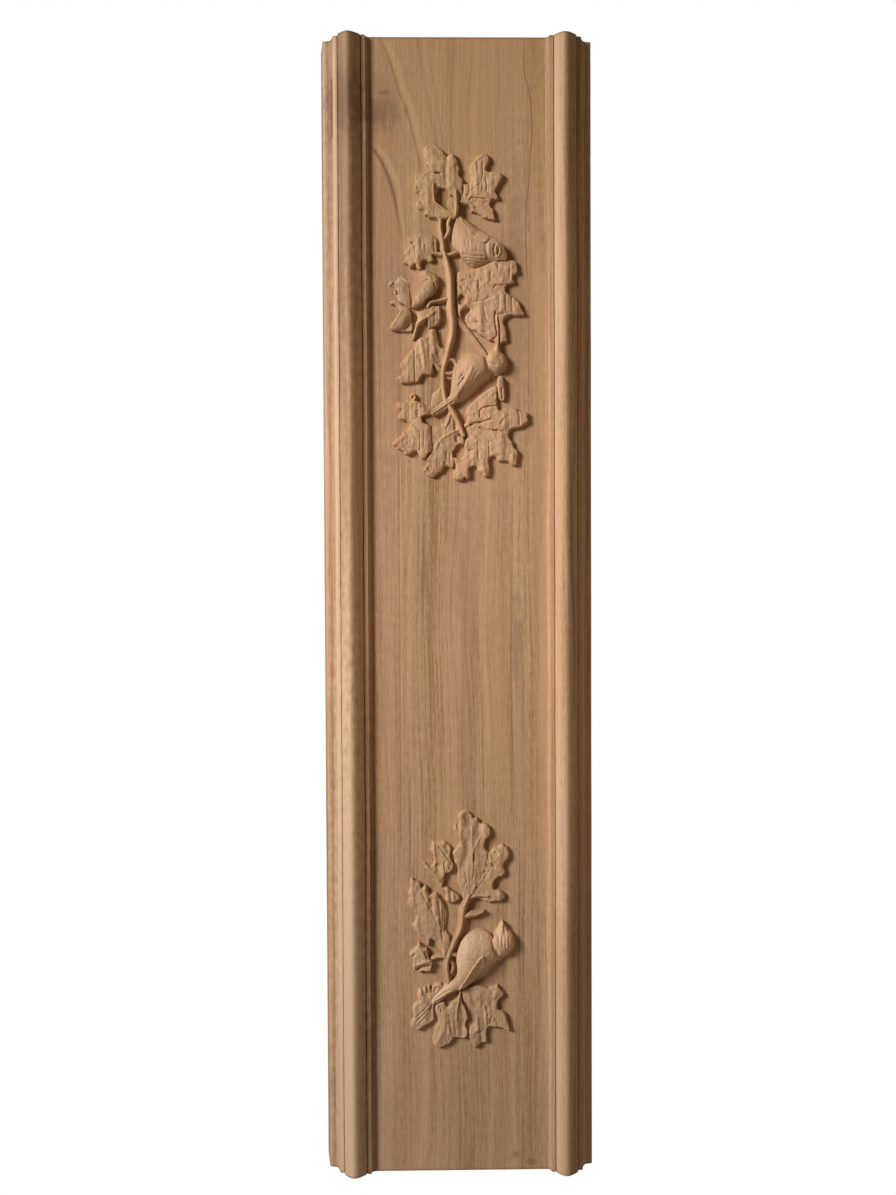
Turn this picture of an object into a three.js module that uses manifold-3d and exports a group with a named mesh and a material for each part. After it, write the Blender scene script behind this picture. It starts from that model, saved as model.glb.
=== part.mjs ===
// Carved chair rail moulding: one board with moulded edges and two sprays of oak leaves and birds.
// Millimetres. +Z runs up along the board, +X to the right, the carved face looks towards -Y and
// the flat back lies on y = 0, with the origin at the middle of the back.

import * as THREE from 'three';
import { ConvexGeometry } from 'three/addons/geometries/ConvexGeometry.js';
import { mergeVertices } from 'three/addons/utils/BufferGeometryUtils.js';
import Module from 'manifold-3d';

// Driving dimensions of the board
const BOARD_LENGTH = 596;
const BACK_WIDTH = 145;
const FACE_WIDTH = 140.6;
const FIELD_DEPTH = 23.6;
const FIELD_WIDTH = 90.6;

// Driving dimensions of the edge moulding, heights above the field
const INNER_COVE_WIDTH = 2.5;
const INNER_FILLET_HEIGHT = 4.0;
const INNER_FILLET_WIDTH = 2.1;
const BEAD_WIDTH = 11.8;
const BEAD_HEIGHT = 8.4;
const BEAD_SPRING_HEIGHT = 3.0;
const QUIRK_WIDTH = 0.2;
const OUTER_FILLET_HEIGHT = 1.7;
const OUTER_FILLET_WIDTH = 2.6;
const OUTER_COVE_WIDTH = 3.4;
const OUTER_FLAT_HEIGHT = -5.6;
const OUTER_CORNER_HEIGHT = -6.0;

// Driving dimensions of the carving, heights above the field
const LEAF_EDGE_HEIGHT = 2.1;
const LEAF_CROWN_HEIGHT = 3.0;
const LOBE_TIP_RISE = 0.5;
const ROUND_EDGE_HEIGHT = 1.6;
const STEM_HEIGHT = 3.4;
const TWIG_HEIGHT = 2.6;
const CARVING_ROOT = -1.5;
const LOBE_ROOT_SHARE = 0.45;

// How finely curves are cut into flats
const PROFILE_STEPS = 10;
const LEAF_RING_SIDES = 8;
const ROUND_RING_SIDES = 10;
const STEM_RING_SIDES = 6;
const SPINE_STEPS = 3;
const WELD_DISTANCE = 1e-4;

// A place on the carved face, x to the right and z up the board, both from the board's middle
const at = (x, z) => new THREE.Vector2(x, z);
// A lobe leaves the spine at a station from 0 to 1 and ends in a round tip of the given radius
const lobe = (station, x, z, radius) => ({ station, tip: at(x, z), radius });
// A round form has a middle, a radius seen from the front and a height above the field
const round = (x, z, radius, height, sides = ROUND_RING_SIDES) => (
  { center: at(x, z), radius, height, sides }
);
const stem = (x, z, radius) => round(x, z, radius, STEM_HEIGHT, STEM_RING_SIDES);
const twig = (x, z, radius) => round(x, z, radius, TWIG_HEIGHT, STEM_RING_SIDES);

// Leaves of the upper spray, from its top to its foot
const UPPER_LEAVES = {
  crownLeft: {
    base: at(-3, 206), bend: at(-16, 208), tip: at(-12.5, 240.8), radii: [1.2, 4.6], lift: 0.2,
    lobes: [
      lobe(0.65, -1.5, 237.6, 2.6), lobe(0.62, 1.4, 227, 3.2), lobe(0.6, -1, 219, 3),
      lobe(0.75, -17.4, 231.5, 1.6), lobe(0.5, -22.8, 222.5, 3.6), lobe(0.3, -22.3, 211, 3.2),
      lobe(0.2, -12.5, 203.2, 2.6),
    ],
  },
  crownRight: {
    base: at(5, 211), bend: at(9, 220), tip: at(12.5, 237.2), radii: [3.6, 3.8], lift: 0,
    lobes: [
      lobe(0.45, 24.2, 226, 1.4), lobe(0.3, 22, 216, 2.6), lobe(0.05, 20.2, 202.8, 0.7),
      lobe(0.1, 18.8, 209.5, 2), lobe(0.65, 6.4, 229.5, 2.6),
    ],
  },
  smallLeft: {
    base: at(-8, 190), bend: at(-16, 189), tip: at(-28, 182), radii: [2.6, 2], lift: 0,
    lobes: [
      lobe(0.6, -25.2, 193.4, 1.8), lobe(0.35, -17, 194.9, 2.6), lobe(0.2, -10, 194.5, 1.8),
      lobe(0.5, -19.5, 178.2, 1.6), lobe(0.75, -25, 178.3, 1.4),
    ],
  },
  broadRight: {
    base: at(2, 160), bend: at(14, 166), tip: at(31.6, 182.5), radii: [5, 3.2], lift: 0,
    lobes: [
      lobe(0.45, 35, 154.2, 1.2), lobe(0.4, 24.4, 138.8, 2.4), lobe(0.7, 31, 173.5, 2.6),
      lobe(0.35, 9, 180, 5), lobe(0.2, 10, 136.5, 2.2), lobe(0.3, 18.5, 139.5, 2.4),
      lobe(0.5, 18, 182, 4.5),
    ],
  },
  slimLeft: {
    base: at(-6, 158.5), bend: at(-17, 157), tip: at(-23.5, 142), radii: [1.2, 1.2], lift: 0.6,
    lobes: [lobe(0.35, -13.8, 146, 2.4)],
  },
  middleLeft: {
    base: at(-10, 133), bend: at(-17, 136), tip: at(-32, 120.5), radii: [3.6, 2.4], lift: 0,
    lobes: [
      lobe(0.2, -14, 147.2, 3), lobe(0.4, -23, 141.8, 2), lobe(0.65, -31, 128, 2.6),
      lobe(0.65, -23, 117.6, 2.2), lobe(0.3, -14, 123.4, 2.6),
    ],
  },
  lowerLeft: {
    base: at(-14, 104), bend: at(-22, 105), tip: at(-31.8, 105), radii: [3.4, 2.8], lift: -0.3,
    lobes: [lobe(0.4, -24, 113.8, 2), lobe(0.7, -31.2, 108.6, 2), lobe(0.7, -30.8, 100.2, 1.6)],
  },
  footLeft: {
    base: at(-10, 97), bend: at(-22, 96), tip: at(-35, 86.8), radii: [3.4, 2.4], lift: 0.4,
    lobes: [
      lobe(0.6, -32.5, 91.5, 3), lobe(0.4, -28.5, 82.5, 3.2), lobe(0.2, -19, 78.8, 2.6),
      lobe(0.1, -13, 82.5, 2),
    ],
  },
  footSlim: {
    base: at(-4, 94), bend: at(-10, 84), tip: at(-14.5, 69.8), radii: [3, 2.6], lift: 0,
    lobes: [
      lobe(0.7, -17.4, 74.5, 2.4), lobe(0.75, -8.2, 70.5, 2.2), lobe(0.5, -5.5, 77, 2),
      lobe(0.45, -15, 83, 2.2),
    ],
  },
  footMiddle: {
    base: at(2, 90), bend: at(1, 80), tip: at(2.5, 67.4), radii: [2.2, 3.6], lift: 0,
    lobes: [lobe(0.75, -2.8, 70.5, 2.2), lobe(0.75, 8, 72, 2.2)],
  },
  footRight: {
    base: at(4, 94), bend: at(18, 98), tip: at(36.2, 99), radii: [3.2, 3.4], lift: 0.2,
    lobes: [
      lobe(0.6, 33.5, 105.2, 2.8), lobe(0.5, 36, 95.5, 1.8), lobe(0.3, 14, 107.5, 3.2),
      lobe(0.5, 22, 106, 2.4), lobe(0.3, 31.6, 81, 3), lobe(0.25, 28.5, 75.6, 2.4),
      lobe(0.2, 21, 79, 2.4), lobe(0.1, 13.5, 71, 2.8), lobe(0.05, 7, 82, 2.4),
    ],
  },
};

// Leaves of the lower spray, from its top to its foot
const LOWER_LEAVES = {
  crown: {
    base: at(5, -150), bend: at(7, -130), tip: at(2.5, -105.2), radii: [1.4, 3], lift: 0.2,
    lobes: [
      lobe(0.85, -1.4, -110.5, 1.6), lobe(0.7, -3.8, -114.5, 1.8), lobe(0.6, -3.2, -125.5, 2.2),
      lobe(0.85, 10.2, -109.6, 1.8), lobe(0.6, 16.6, -116, 3), lobe(0.5, 15.5, -124.5, 2.4),
    ],
  },
  right: {
    base: at(3, -151), bend: at(10, -140), tip: at(23.5, -124), radii: [2, 2.6], lift: 0,
    lobes: [
      lobe(0.7, 26, -130, 2.6), lobe(0.6, 26.4, -138.5, 1.8), lobe(0.3, 24.6, -150.5, 2.6),
      lobe(0.2, 16, -154.2, 1.8), lobe(0.7, 15, -127, 3), lobe(0.5, 8.5, -135, 2.4),
    ],
  },
  leftHigh: {
    base: at(-6, -146), bend: at(-9, -135), tip: at(-14.6, -121.2), radii: [1.8, 1.8], lift: 0,
    lobes: [
      lobe(0.75, -5.6, -124.5, 1.8), lobe(0.7, -16.4, -127.5, 2), lobe(0.45, -19.4, -133.8, 1.2),
      lobe(0.3, -12.5, -141, 2), lobe(0.5, -6, -132, 1.8),
    ],
  },
  curl: {
    base: at(0.5, -152.5), bend: at(-4, -149), tip: at(-8.6, -145.4), radii: [1.6, 2], lift: 0.8,
    lobes: [lobe(0.6, -9.2, -152, 2.2)],
  },
  left: {
    base: at(-8.5, -176), bend: at(-12, -160), tip: at(-26.2, -141), radii: [1.6, 2], lift: 0,
    lobes: [
      lobe(0.75, -28.2, -148, 2), lobe(0.6, -28.4, -155.5, 2), lobe(0.4, -25.4, -166, 2),
      lobe(0.25, -19, -172.5, 1.8), lobe(0.7, -20, -144.6, 1.8), lobe(0.6, -14, -147.8, 2),
      lobe(0.5, -9.8, -150.8, 1.8),
    ],
  },
  cup: {
    base: at(-14.5, -184), bend: at(-18, -184), tip: at(-21, -182.5), radii: [2.4, 3.4], lift: 0.6,
    lobes: [
      lobe(0.5, -28.4, -180, 0.5), lobe(0.5, -22.4, -175, 0.6), lobe(0.5, -17.8, -177, 0.6),
      lobe(0.7, -25, -190, 1.4), lobe(0.2, -15.2, -189.6, 1.6),
    ],
  },
  footLeft: {
    base: at(-12, -202), bend: at(-18, -208), tip: at(-25, -221), radii: [2.8, 2.4], lift: 0,
    lobes: [
      lobe(0.3, -23, -201.5, 2.2), lobe(0.15, -17.5, -197.6, 1.4), lobe(0.5, -26.8, -210, 2.2),
      lobe(0.7, -15.5, -219, 2.6), lobe(0.85, -27.2, -217, 1.8),
    ],
  },
  footMiddle: {
    base: at(-1, -202), bend: at(-4, -215), tip: at(-11, -231), radii: [2.2, 3], lift: 0.2,
    lobes: [
      lobe(0.8, -15.4, -227, 2.6), lobe(0.5, -14.4, -217, 2.4), lobe(0.55, 1.8, -225.6, 3),
      lobe(0.4, 5.2, -215, 2.6), lobe(0.25, -9.5, -208, 2),
    ],
  },
  footRight: {
    base: at(4, -201), bend: at(9, -214), tip: at(8.5, -231.3), radii: [3, 3], lift: 0,
    lobes: [
      lobe(0.15, 24.7, -201.8, 2.4), lobe(0.05, 14, -198.2, 2), lobe(0.3, 24, -212.4, 2.2),
      lobe(0.4, 27, -223, 1.6), lobe(0.8, 13.6, -227.5, 2.2), lobe(0.7, 4.2, -224, 2),
      lobe(0.5, 16, -218.5, 2.4),
    ],
  },
};

// Birds, acorns and the pod: rows of round forms joined to each other
const ROUND_FORMS = {
  crownBirdBody: [round(-1, 204, 1, 2.6), round(3, 196, 5.8, 4.6), round(9, 187.5, 8.4, 6)],
  crownBirdWing: [round(3, 204, 1.6, 3.4), round(11, 195.5, 4.6, 5.6)],
  crownBirdHead: [round(13, 189, 6.5, 6), round(20, 187.6, 5.6, 5.6), round(25.5, 182, 1.2, 3.2)],
  upperAcorn: [round(-14.5, 171.5, 5.4, 4.6), round(-24, 159.5, 1.4, 3)],
  sideAcorn: [round(-29.5, 154.5, 4.6, 4.2), round(-35, 147.2, 1.2, 2.6)],
  sideAcornCup: [round(-34, 160.5, 1.6, 2.4), round(-29, 156, 4.4, 4.2), round(-27, 149.5, 3.6, 3.4)],
  footBirdTail: [round(-13.6, 102.8, 0.9, 3.4), round(-3, 111, 2.6, 4.8)],
  footBirdBody: [round(-1, 114, 3.6, 5), round(4, 122, 7.4, 6), round(14, 128, 6.6, 6)],
  footBirdHead: [round(15, 128, 6, 6), round(20.5, 128.5, 4.4, 5)],
  footBirdBeak: [round(20.6, 132, 1.4, 4), round(20.6, 139.5, 0.6, 3.4)],
  pod: [round(22, 119.5, 1.6, 3), round(22.2, 107, 1.8, 3)],
  lowBirdTail: [round(-14.2, -206.3, 0.9, 3.4), round(-3, -198, 3, 4.6)],
  lowBirdBody: [round(1, -193, 4.6, 5), round(9, -178, 9.2, 6.4), round(14, -177, 8.6, 6.4)],
  lowBirdHead: [round(15, -178, 7.4, 6.2), round(23, -174.8, 5.6, 5.6)],
  lowBirdBeak: [round(23, -171, 3.4, 4.6), round(22, -164.2, 0.4, 3)],
};

// Stems and twigs: rows of places with the half width of the stem there
const STEMS = {
  upperStem: [
    stem(-5.5, 207, 1.6), stem(-7, 197, 1.7), stem(-6, 187, 1.5), stem(-3, 175, 1.9),
    stem(-3.6, 163, 2.1), stem(-2.6, 151, 2.2), stem(-6, 139, 1.7), stem(-8, 127, 1.6),
    stem(-7.4, 115, 1.6), stem(-4, 104, 1.8), stem(-1, 95, 1.8), stem(2, 87, 1.4),
  ],
  crownStalk: [twig(-2.5, 222, 1.8), twig(-1, 206, 1.4)],
  acornTwig: [twig(-6, 161, 0.9), twig(-14, 159.2, 0.7)],
  leafTwig: [twig(-1, 151.5, 0.9), twig(11, 136.5, 0.5)],
  lowerStem: [
    stem(4, -146, 1.2), stem(1, -156, 1.5), stem(-3, -169, 1.6), stem(-7, -180, 1.6),
    stem(-8, -190, 1.7), stem(-9, -199, 1.7),
  ],
  budTwig: [twig(0, -162.5, 1.3), twig(6, -161.8, 0.8), twig(11.5, -159.5, 0.5)],
  cupTwig: [twig(-8, -184, 1.2), twig(-15, -183.6, 1.1)],
};

const wasm = await Module();
wasm.setup();

function toSolid(geometry) {
  geometry.deleteAttribute('normal');
  geometry.deleteAttribute('uv');
  const merged = mergeVertices(geometry, WELD_DISTANCE);
  return new wasm.Manifold(new wasm.Mesh({
    numProp: 3,
    vertProperties: Float32Array.from(merged.attributes.position.array),
    triVerts: Uint32Array.from(merged.index.array),
  }));
}

function toGeometry(solid) {
  const mesh = solid.getMesh();
  const geometry = new THREE.BufferGeometry();
  geometry.setAttribute('position', new THREE.BufferAttribute(mesh.vertProperties, 3));
  geometry.setIndex(new THREE.BufferAttribute(mesh.triVerts, 1));
  geometry.computeVertexNormals();
  return geometry;
}

// Right-hand edge moulding as points of x and height above the field, from the field to the back
function edgeMoulding() {
  const coveFoot = FIELD_WIDTH / 2;
  const filletStart = coveFoot + INNER_COVE_WIDTH;
  const filletEnd = filletStart + INNER_FILLET_WIDTH;
  const beadStart = filletEnd + QUIRK_WIDTH;
  const beadEnd = beadStart + BEAD_WIDTH;
  const outerFilletEnd = beadEnd + OUTER_FILLET_WIDTH;
  const outerCoveEnd = outerFilletEnd + OUTER_COVE_WIDTH;
  const path = new THREE.Path();
  path.moveTo(coveFoot, 0);
  path.quadraticCurveTo(filletStart, 0, filletStart, INNER_FILLET_HEIGHT);
  path.lineTo(filletEnd, INNER_FILLET_HEIGHT);
  path.lineTo(beadStart, BEAD_SPRING_HEIGHT);
  path.absellipse(
    (beadStart + beadEnd) / 2, BEAD_SPRING_HEIGHT,
    BEAD_WIDTH / 2, BEAD_HEIGHT - BEAD_SPRING_HEIGHT, Math.PI, 0, true,
  );
  path.lineTo(beadEnd + QUIRK_WIDTH, OUTER_FILLET_HEIGHT);
  path.lineTo(outerFilletEnd, OUTER_FILLET_HEIGHT);
  path.quadraticCurveTo(
    outerFilletEnd + OUTER_COVE_WIDTH / 4, OUTER_FLAT_HEIGHT, outerCoveEnd, OUTER_FLAT_HEIGHT,
  );
  path.lineTo(FACE_WIDTH / 2, OUTER_CORNER_HEIGHT);
  path.lineTo(BACK_WIDTH / 2, -FIELD_DEPTH);
  return path.getPoints(PROFILE_STEPS);
}

function board() {
  const right = edgeMoulding();
  const left = right.map((p) => at(-p.x, p.y)).reverse();
  const outline = [...left, ...right].map((p) => at(p.x, -FIELD_DEPTH - p.y));
  const geometry = new THREE.ExtrudeGeometry(new THREE.Shape(outline), {
    depth: BOARD_LENGTH, bevelEnabled: false,
  });
  geometry.translate(0, 0, -BOARD_LENGTH / 2);
  return toSolid(geometry);
}

// A ring of points round a place on the face, at a height above the field
function ring(center, radius, height, sides) {
  const points = [];
  for (let i = 0; i < sides; i += 1) {
    const turn = (2 * Math.PI * (i + 0.5)) / sides;
    points.push(new THREE.Vector3(
      center.x + radius * Math.cos(turn), -FIELD_DEPTH - height, center.y + radius * Math.sin(turn),
    ));
  }
  return points;
}

function apex(center, height) {
  return new THREE.Vector3(center.x, -FIELD_DEPTH - height, center.y);
}

// Steep edge and low ridge of a leaf at one end of a limb
function plateEnd(end) {
  return [
    ...ring(end.center, end.radius, CARVING_ROOT, LEAF_RING_SIDES),
    ...ring(end.center, end.radius, end.edge, LEAF_RING_SIDES),
    apex(end.center, end.crown),
  ];
}

// Domed end of a bird, acorn or stem
function domedEnd({ center, radius, height, sides }) {
  const edge = Math.min(ROUND_EDGE_HEIGHT, height / 2);
  const shoulder = edge + (height - edge) * Math.SQRT1_2;
  return [
    ...ring(center, radius, CARVING_ROOT, sides),
    ...ring(center, radius, edge, sides),
    ...ring(center, radius * Math.SQRT1_2, shoulder, sides),
    apex(center, height),
  ];
}

function limb(points) {
  return toSolid(new ConvexGeometry(points));
}

function chain(ends, shapeOfEnd) {
  return ends.slice(1).map((end, i) => limb([...shapeOfEnd(ends[i]), ...shapeOfEnd(end)]));
}

// The spine's end lies one radius inside the leaf's outermost point
function insideTip(from, tip, radius) {
  return tip.clone().sub(tip.clone().sub(from).setLength(radius));
}

function leaf({ base, bend, tip, radii, lift, lobes }) {
  const spine = new THREE.QuadraticBezierCurve(base, bend, insideTip(bend, tip, radii[1]));
  const edge = LEAF_EDGE_HEIGHT + lift;
  const crown = LEAF_CROWN_HEIGHT + lift;
  const spineEnd = (station) => ({
    center: spine.getPoint(station),
    radius: THREE.MathUtils.lerp(radii[0], radii[1], station),
    edge,
    crown,
  });
  const ends = [];
  for (let i = 0; i <= SPINE_STEPS; i += 1) ends.push(spineEnd(i / SPINE_STEPS));
  const limbs = chain(ends, plateEnd);
  for (const { station, tip: lobeTip, radius } of lobes) {
    const root = spineEnd(station);
    const center = insideTip(root.center, lobeTip, radius);
    root.radius = Math.max(root.radius, radius, LOBE_ROOT_SHARE * center.distanceTo(root.center));
    const end = { center, radius, edge, crown: edge + LOBE_TIP_RISE };
    limbs.push(limb([...plateEnd(root), ...plateEnd(end)]));
  }
  return limbs;
}

function carving() {
  return [
    ...Object.values(UPPER_LEAVES).flatMap(leaf),
    ...Object.values(LOWER_LEAVES).flatMap(leaf),
    ...Object.values(STEMS).flatMap((row) => chain(row, domedEnd)),
    ...Object.values(ROUND_FORMS).flatMap((row) => chain(row, domedEnd)),
  ];
}

const wood = new THREE.MeshStandardMaterial({ color: 0xa98562, roughness: 0.62, metalness: 0 });

const moulding = new THREE.Group();
const body = new THREE.Mesh(
  toGeometry(carving().reduce((whole, piece) => whole.add(piece), board())), wood,
);
body.name = 'carved_moulding';
moulding.add(body);

export default moulding;
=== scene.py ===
"""A carved chair rail moulding of bare hardwood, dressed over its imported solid.

The board, its edge mouldings and the two sprays of oak leaves, acorns and birds are one piece of wood. The
board is a finely cut section drawn along its length. The carving is relief: each leaf, stem, acorn and bird
is a fine net of faces that is cut to its outline, raised to its height and let into the field.
Places on the face are in millimetres, x to the right and z up the board, both from the board's middle.
Heights are in millimetres above the flat field between the edge mouldings.
"""

import logging
import math
from dataclasses import dataclass, field
from enum import Enum
from typing import Iterable

import bmesh
import bpy
import numpy as np
from mathutils import Matrix, Vector


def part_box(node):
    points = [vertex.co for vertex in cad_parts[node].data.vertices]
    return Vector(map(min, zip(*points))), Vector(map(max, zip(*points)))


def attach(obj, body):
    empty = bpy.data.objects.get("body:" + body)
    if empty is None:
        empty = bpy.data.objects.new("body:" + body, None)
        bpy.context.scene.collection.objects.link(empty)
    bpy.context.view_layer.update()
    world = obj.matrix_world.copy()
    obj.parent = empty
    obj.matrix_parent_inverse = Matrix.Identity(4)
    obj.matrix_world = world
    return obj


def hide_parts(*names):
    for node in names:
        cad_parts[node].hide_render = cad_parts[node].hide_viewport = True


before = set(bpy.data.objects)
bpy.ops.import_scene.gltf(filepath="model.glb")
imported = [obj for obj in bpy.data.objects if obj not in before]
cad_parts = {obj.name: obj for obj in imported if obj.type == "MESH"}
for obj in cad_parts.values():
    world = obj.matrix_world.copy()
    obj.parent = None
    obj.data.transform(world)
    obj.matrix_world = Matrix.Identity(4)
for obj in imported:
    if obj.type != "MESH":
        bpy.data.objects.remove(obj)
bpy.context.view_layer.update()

LOG = logging.getLogger("moulding")
NODE = "carved_moulding"
MM = 0.001

Place = tuple[float, float]
Array = np.ndarray
Mesh = bmesh.types.BMesh
Tree = bpy.types.NodeTree
Socket = bpy.types.NodeSocket

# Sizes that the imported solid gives, in millimetres
LOWEST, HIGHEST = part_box(NODE)
HALF_LENGTH = HIGHEST[2] / MM
BACK_HALF_WIDTH = HIGHEST[0] / MM
THICKNESS = (HIGHEST[1] - LOWEST[1]) / MM

# Sizes of the section that the solid's box doesn't give
BEAD_HEIGHT = 8.4
FIELD_DEPTH = THICKNESS - BEAD_HEIGHT

# Half the span over which an outline's direction is felt, and what counts as nothing, in millimetres
PROBE = 0.05
TINY = 1e-9


def smooth_step(value: Array) -> Array:
    """Returns a soft rise from 0 to 1 as value goes from 0 to 1."""
    share = np.clip(value, 0.0, 1.0)
    return share * share * (3.0 - 2.0 * share)


def soft_lower(first: Array, second: Array, width: float) -> Array:
    """Joins two distance fields with a rounded inner corner.

    Args:
        first: One field, negative inside.
        second: The other field, negative inside.
        width: How far the corner's rounding reaches, in millimetres.

    Returns:
        The lower of the two, rounded where they meet.
    """
    share = np.clip(0.5 + 0.5 * (first - second) / width, 0.0, 1.0)
    return first * (1.0 - share) + second * share - width * share * (1.0 - share)


@dataclass(frozen=True)
class HandWork:
    """Unevenness that tools leave in wood, the same on every run.

    Attributes:
        seed: Picks the pattern.
        pitch: Distance between two high spots across the board, in millimetres.
        depth: Height of a high spot, in millimetres.
        stretch: How many times longer a high spot is up the board than across.
    """

    seed: int
    pitch: float
    depth: float
    stretch: float = 1.0

    # How much finer the second layer is, its share of the height, and its shift against the first
    FINER = 2.1
    FINE_SHARE = 0.45
    SHIFT = (31.7, 11.3)
    # Cells along each side of the pattern before it repeats
    CELLS = 128

    def at(self, x: Array, z: Array) -> Array:
        """Measures the unevenness, coarse and fine together.

        Args:
            x: Places across the board.
            z: Places up the board.

        Returns:
            Heights in millimetres.
        """
        tall = self.pitch * self.stretch
        broad = self.layer(x / self.pitch, z / tall)
        fine_x = x * self.FINER / self.pitch + self.SHIFT[0]
        fine_z = z * self.FINER / tall + self.SHIFT[1]
        return self.depth * (broad + self.FINE_SHARE * self.layer(fine_x, fine_z))

    def layer(self, across: Array, along: Array) -> Array:
        """Draws one layer of the unevenness on a lattice of unit cells.

        Args:
            across: Places across the board, in cells.
            along: Places up the board, in cells.

        Returns:
            Smooth chance values between -1 and 1.
        """
        table = np.random.default_rng(self.seed).uniform(-1.0, 1.0, (self.CELLS, self.CELLS))
        column = np.floor(across).astype(int)
        row = np.floor(along).astype(int)
        u = smooth_step(across - column)
        v = smooth_step(along - row)
        corner = [
            [table[(row + j) % self.CELLS, (column + i) % self.CELLS] for i in (0, 1)]
            for j in (0, 1)
        ]
        low = corner[0][0] + (corner[0][1] - corner[0][0]) * u
        high = corner[1][0] + (corner[1][1] - corner[1][0]) * u
        return low + (high - low) * v


@dataclass(frozen=True)
class End:
    """A round place on a form.

    Attributes:
        x: Where its middle lies across the board.
        z: Where its middle lies up the board.
        radius: Its radius.
        height: Its height above the field.
    """

    x: float
    z: float
    radius: float
    height: float = 0.0


@dataclass(frozen=True)
class Limb:
    """A tapered stretch of a form between two round ends.

    Attributes:
        start: The end where it starts.
        end: The end where it stops.
    """

    start: End
    end: End

    def share(self, x: Array, z: Array) -> Array:
        """Measures how far along the limb places lie.

        Args:
            x: Places across the board.
            z: Places up the board.

        Returns:
            0 at the limb's start, 1 at its end.
        """
        run_x = self.end.x - self.start.x
        run_z = self.end.z - self.start.z
        length = run_x * run_x + run_z * run_z
        return np.clip(((x - self.start.x) * run_x + (z - self.start.z) * run_z) / length, 0.0, 1.0)

    def measure(self, x: Array, z: Array) -> tuple[Array, Array, Array]:
        """Measures places against the limb.

        Args:
            x: Places across the board.
            z: Places up the board.

        Returns:
            The distance from the limb's centre line, and the limb's radius and height beside each place.
        """
        share = self.share(x, z)
        across = x - self.start.x - share * (self.end.x - self.start.x)
        along = z - self.start.z - share * (self.end.z - self.start.z)
        radius = self.start.radius + share * (self.end.radius - self.start.radius)
        height = self.start.height + share * (self.end.height - self.start.height)
        return np.hypot(across, along), radius, height


def limbs_of(ends: Iterable[End]) -> list[Limb]:
    """Returns the limbs that join a row of ends."""
    row = list(ends)
    return [Limb(start, end) for start, end in zip(row, row[1:])]


def smooth_row(row: list[End], steps: int = 5) -> list[End]:
    """Rounds a row of ends into a flowing one.

    Args:
        row: The ends that the row passes through.
        steps: How many stretches stand between two of them.

    Returns:
        The ends of the flowing row.
    """
    if len(row) < 3:
        return row
    known = np.array([[end.x, end.z, end.radius, end.height] for end in row])
    padded = np.vstack([2 * known[0] - known[1], known, 2 * known[-1] - known[-2]])
    flowing = []
    for before, start, end, after in zip(padded, padded[1:], padded[2:], padded[3:]):
        for step in range(steps):
            t = step / steps
            flowing.append(
                0.5
                * (
                    2 * start
                    + (end - before) * t
                    + (2 * before - 5 * start + 4 * end - after) * t * t
                    + (3 * start - before - 3 * end + after) * t**3
                )
            )
    flowing.append(known[-1])
    return [End(*(float(value) for value in values)) for values in flowing]


@dataclass(frozen=True)
class Stroke:
    """One line that a tool cut or left standing.

    Attributes:
        places: The places that the line passes.
        depth: Height of the line, negative for a cut.
        width: Half the line's width, in millimetres.
    """

    places: tuple[Place, ...]
    depth: float
    width: float = 0.35

    def at(self, x: Array, z: Array) -> Array:
        """Measures what the line adds to the surface.

        Args:
            x: Places across the board.
            z: Places up the board.

        Returns:
            Heights in millimetres, negative in a cut.
        """
        limbs = limbs_of(End(px, pz, 0.0) for px, pz in self.places)
        nearest = np.min([limb.measure(x, z)[0] for limb in limbs], axis=0)
        return self.depth * np.exp(-((nearest / self.width) ** 2))


@dataclass(frozen=True)
class Rim:
    """A closed outline through places on the face, rounded between them.

    Attributes:
        places: The x and z of each place in turn round the outline.
        steps: How many stretches stand between two of them.
    """

    places: tuple[float, ...]
    steps: int = 4

    def line(self) -> Array:
        """Rounds the outline between its places.

        Returns:
            The places of the rounded outline, one to a row.
        """
        known = np.array(self.places).reshape(-1, 2)
        before = np.roll(known, 1, 0)
        after = np.roll(known, -1, 0)
        far = np.roll(known, -2, 0)
        rows = []
        for step in range(self.steps):
            t = step / self.steps
            bow = (2 * before - 5 * known + 4 * after - far) * t * t
            twist = (3 * known - before - 3 * after + far) * t**3
            rows.append(0.5 * (2 * known + (after - before) * t + bow + twist))
        return np.stack(rows, axis=1).reshape(-1, 2)

    def distance(self, x: Array, z: Array) -> Array:
        """Measures places against the outline.

        Args:
            x: Places across the board.
            z: Places up the board.

        Returns:
            The distance from the outline, negative inside.
        """
        line = self.line()
        nearest = np.full(x.shape, np.inf)
        inside = np.zeros(x.shape, dtype=bool)
        for (ax, az), (bx, bz) in zip(line, np.roll(line, -1, 0)):
            run_x = bx - ax
            run_z = bz - az if bz != az else TINY
            share = ((x - ax) * run_x + (z - az) * run_z) / (run_x * run_x + run_z * run_z)
            share = np.clip(share, 0.0, 1.0)
            nearest = np.minimum(nearest, (x - ax - share * run_x) ** 2 + (z - az - share * run_z) ** 2)
            inside ^= ((az > z) != (az + run_z > z)) & (x < ax + (z - az) / run_z * run_x)
        return np.where(inside, -1.0, 1.0) * np.sqrt(nearest)

    def extent(self, margin: float = 1.0) -> tuple[float, float, float, float]:
        """Measures the outline's reach.

        Args:
            margin: What is added on every side.

        Returns:
            The lowest and highest x, then the lowest and highest z.
        """
        line = self.line()
        low_x, low_z = line.min(axis=0) - margin
        high_x, high_z = line.max(axis=0) + margin
        return low_x, high_x, low_z, high_z


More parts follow.
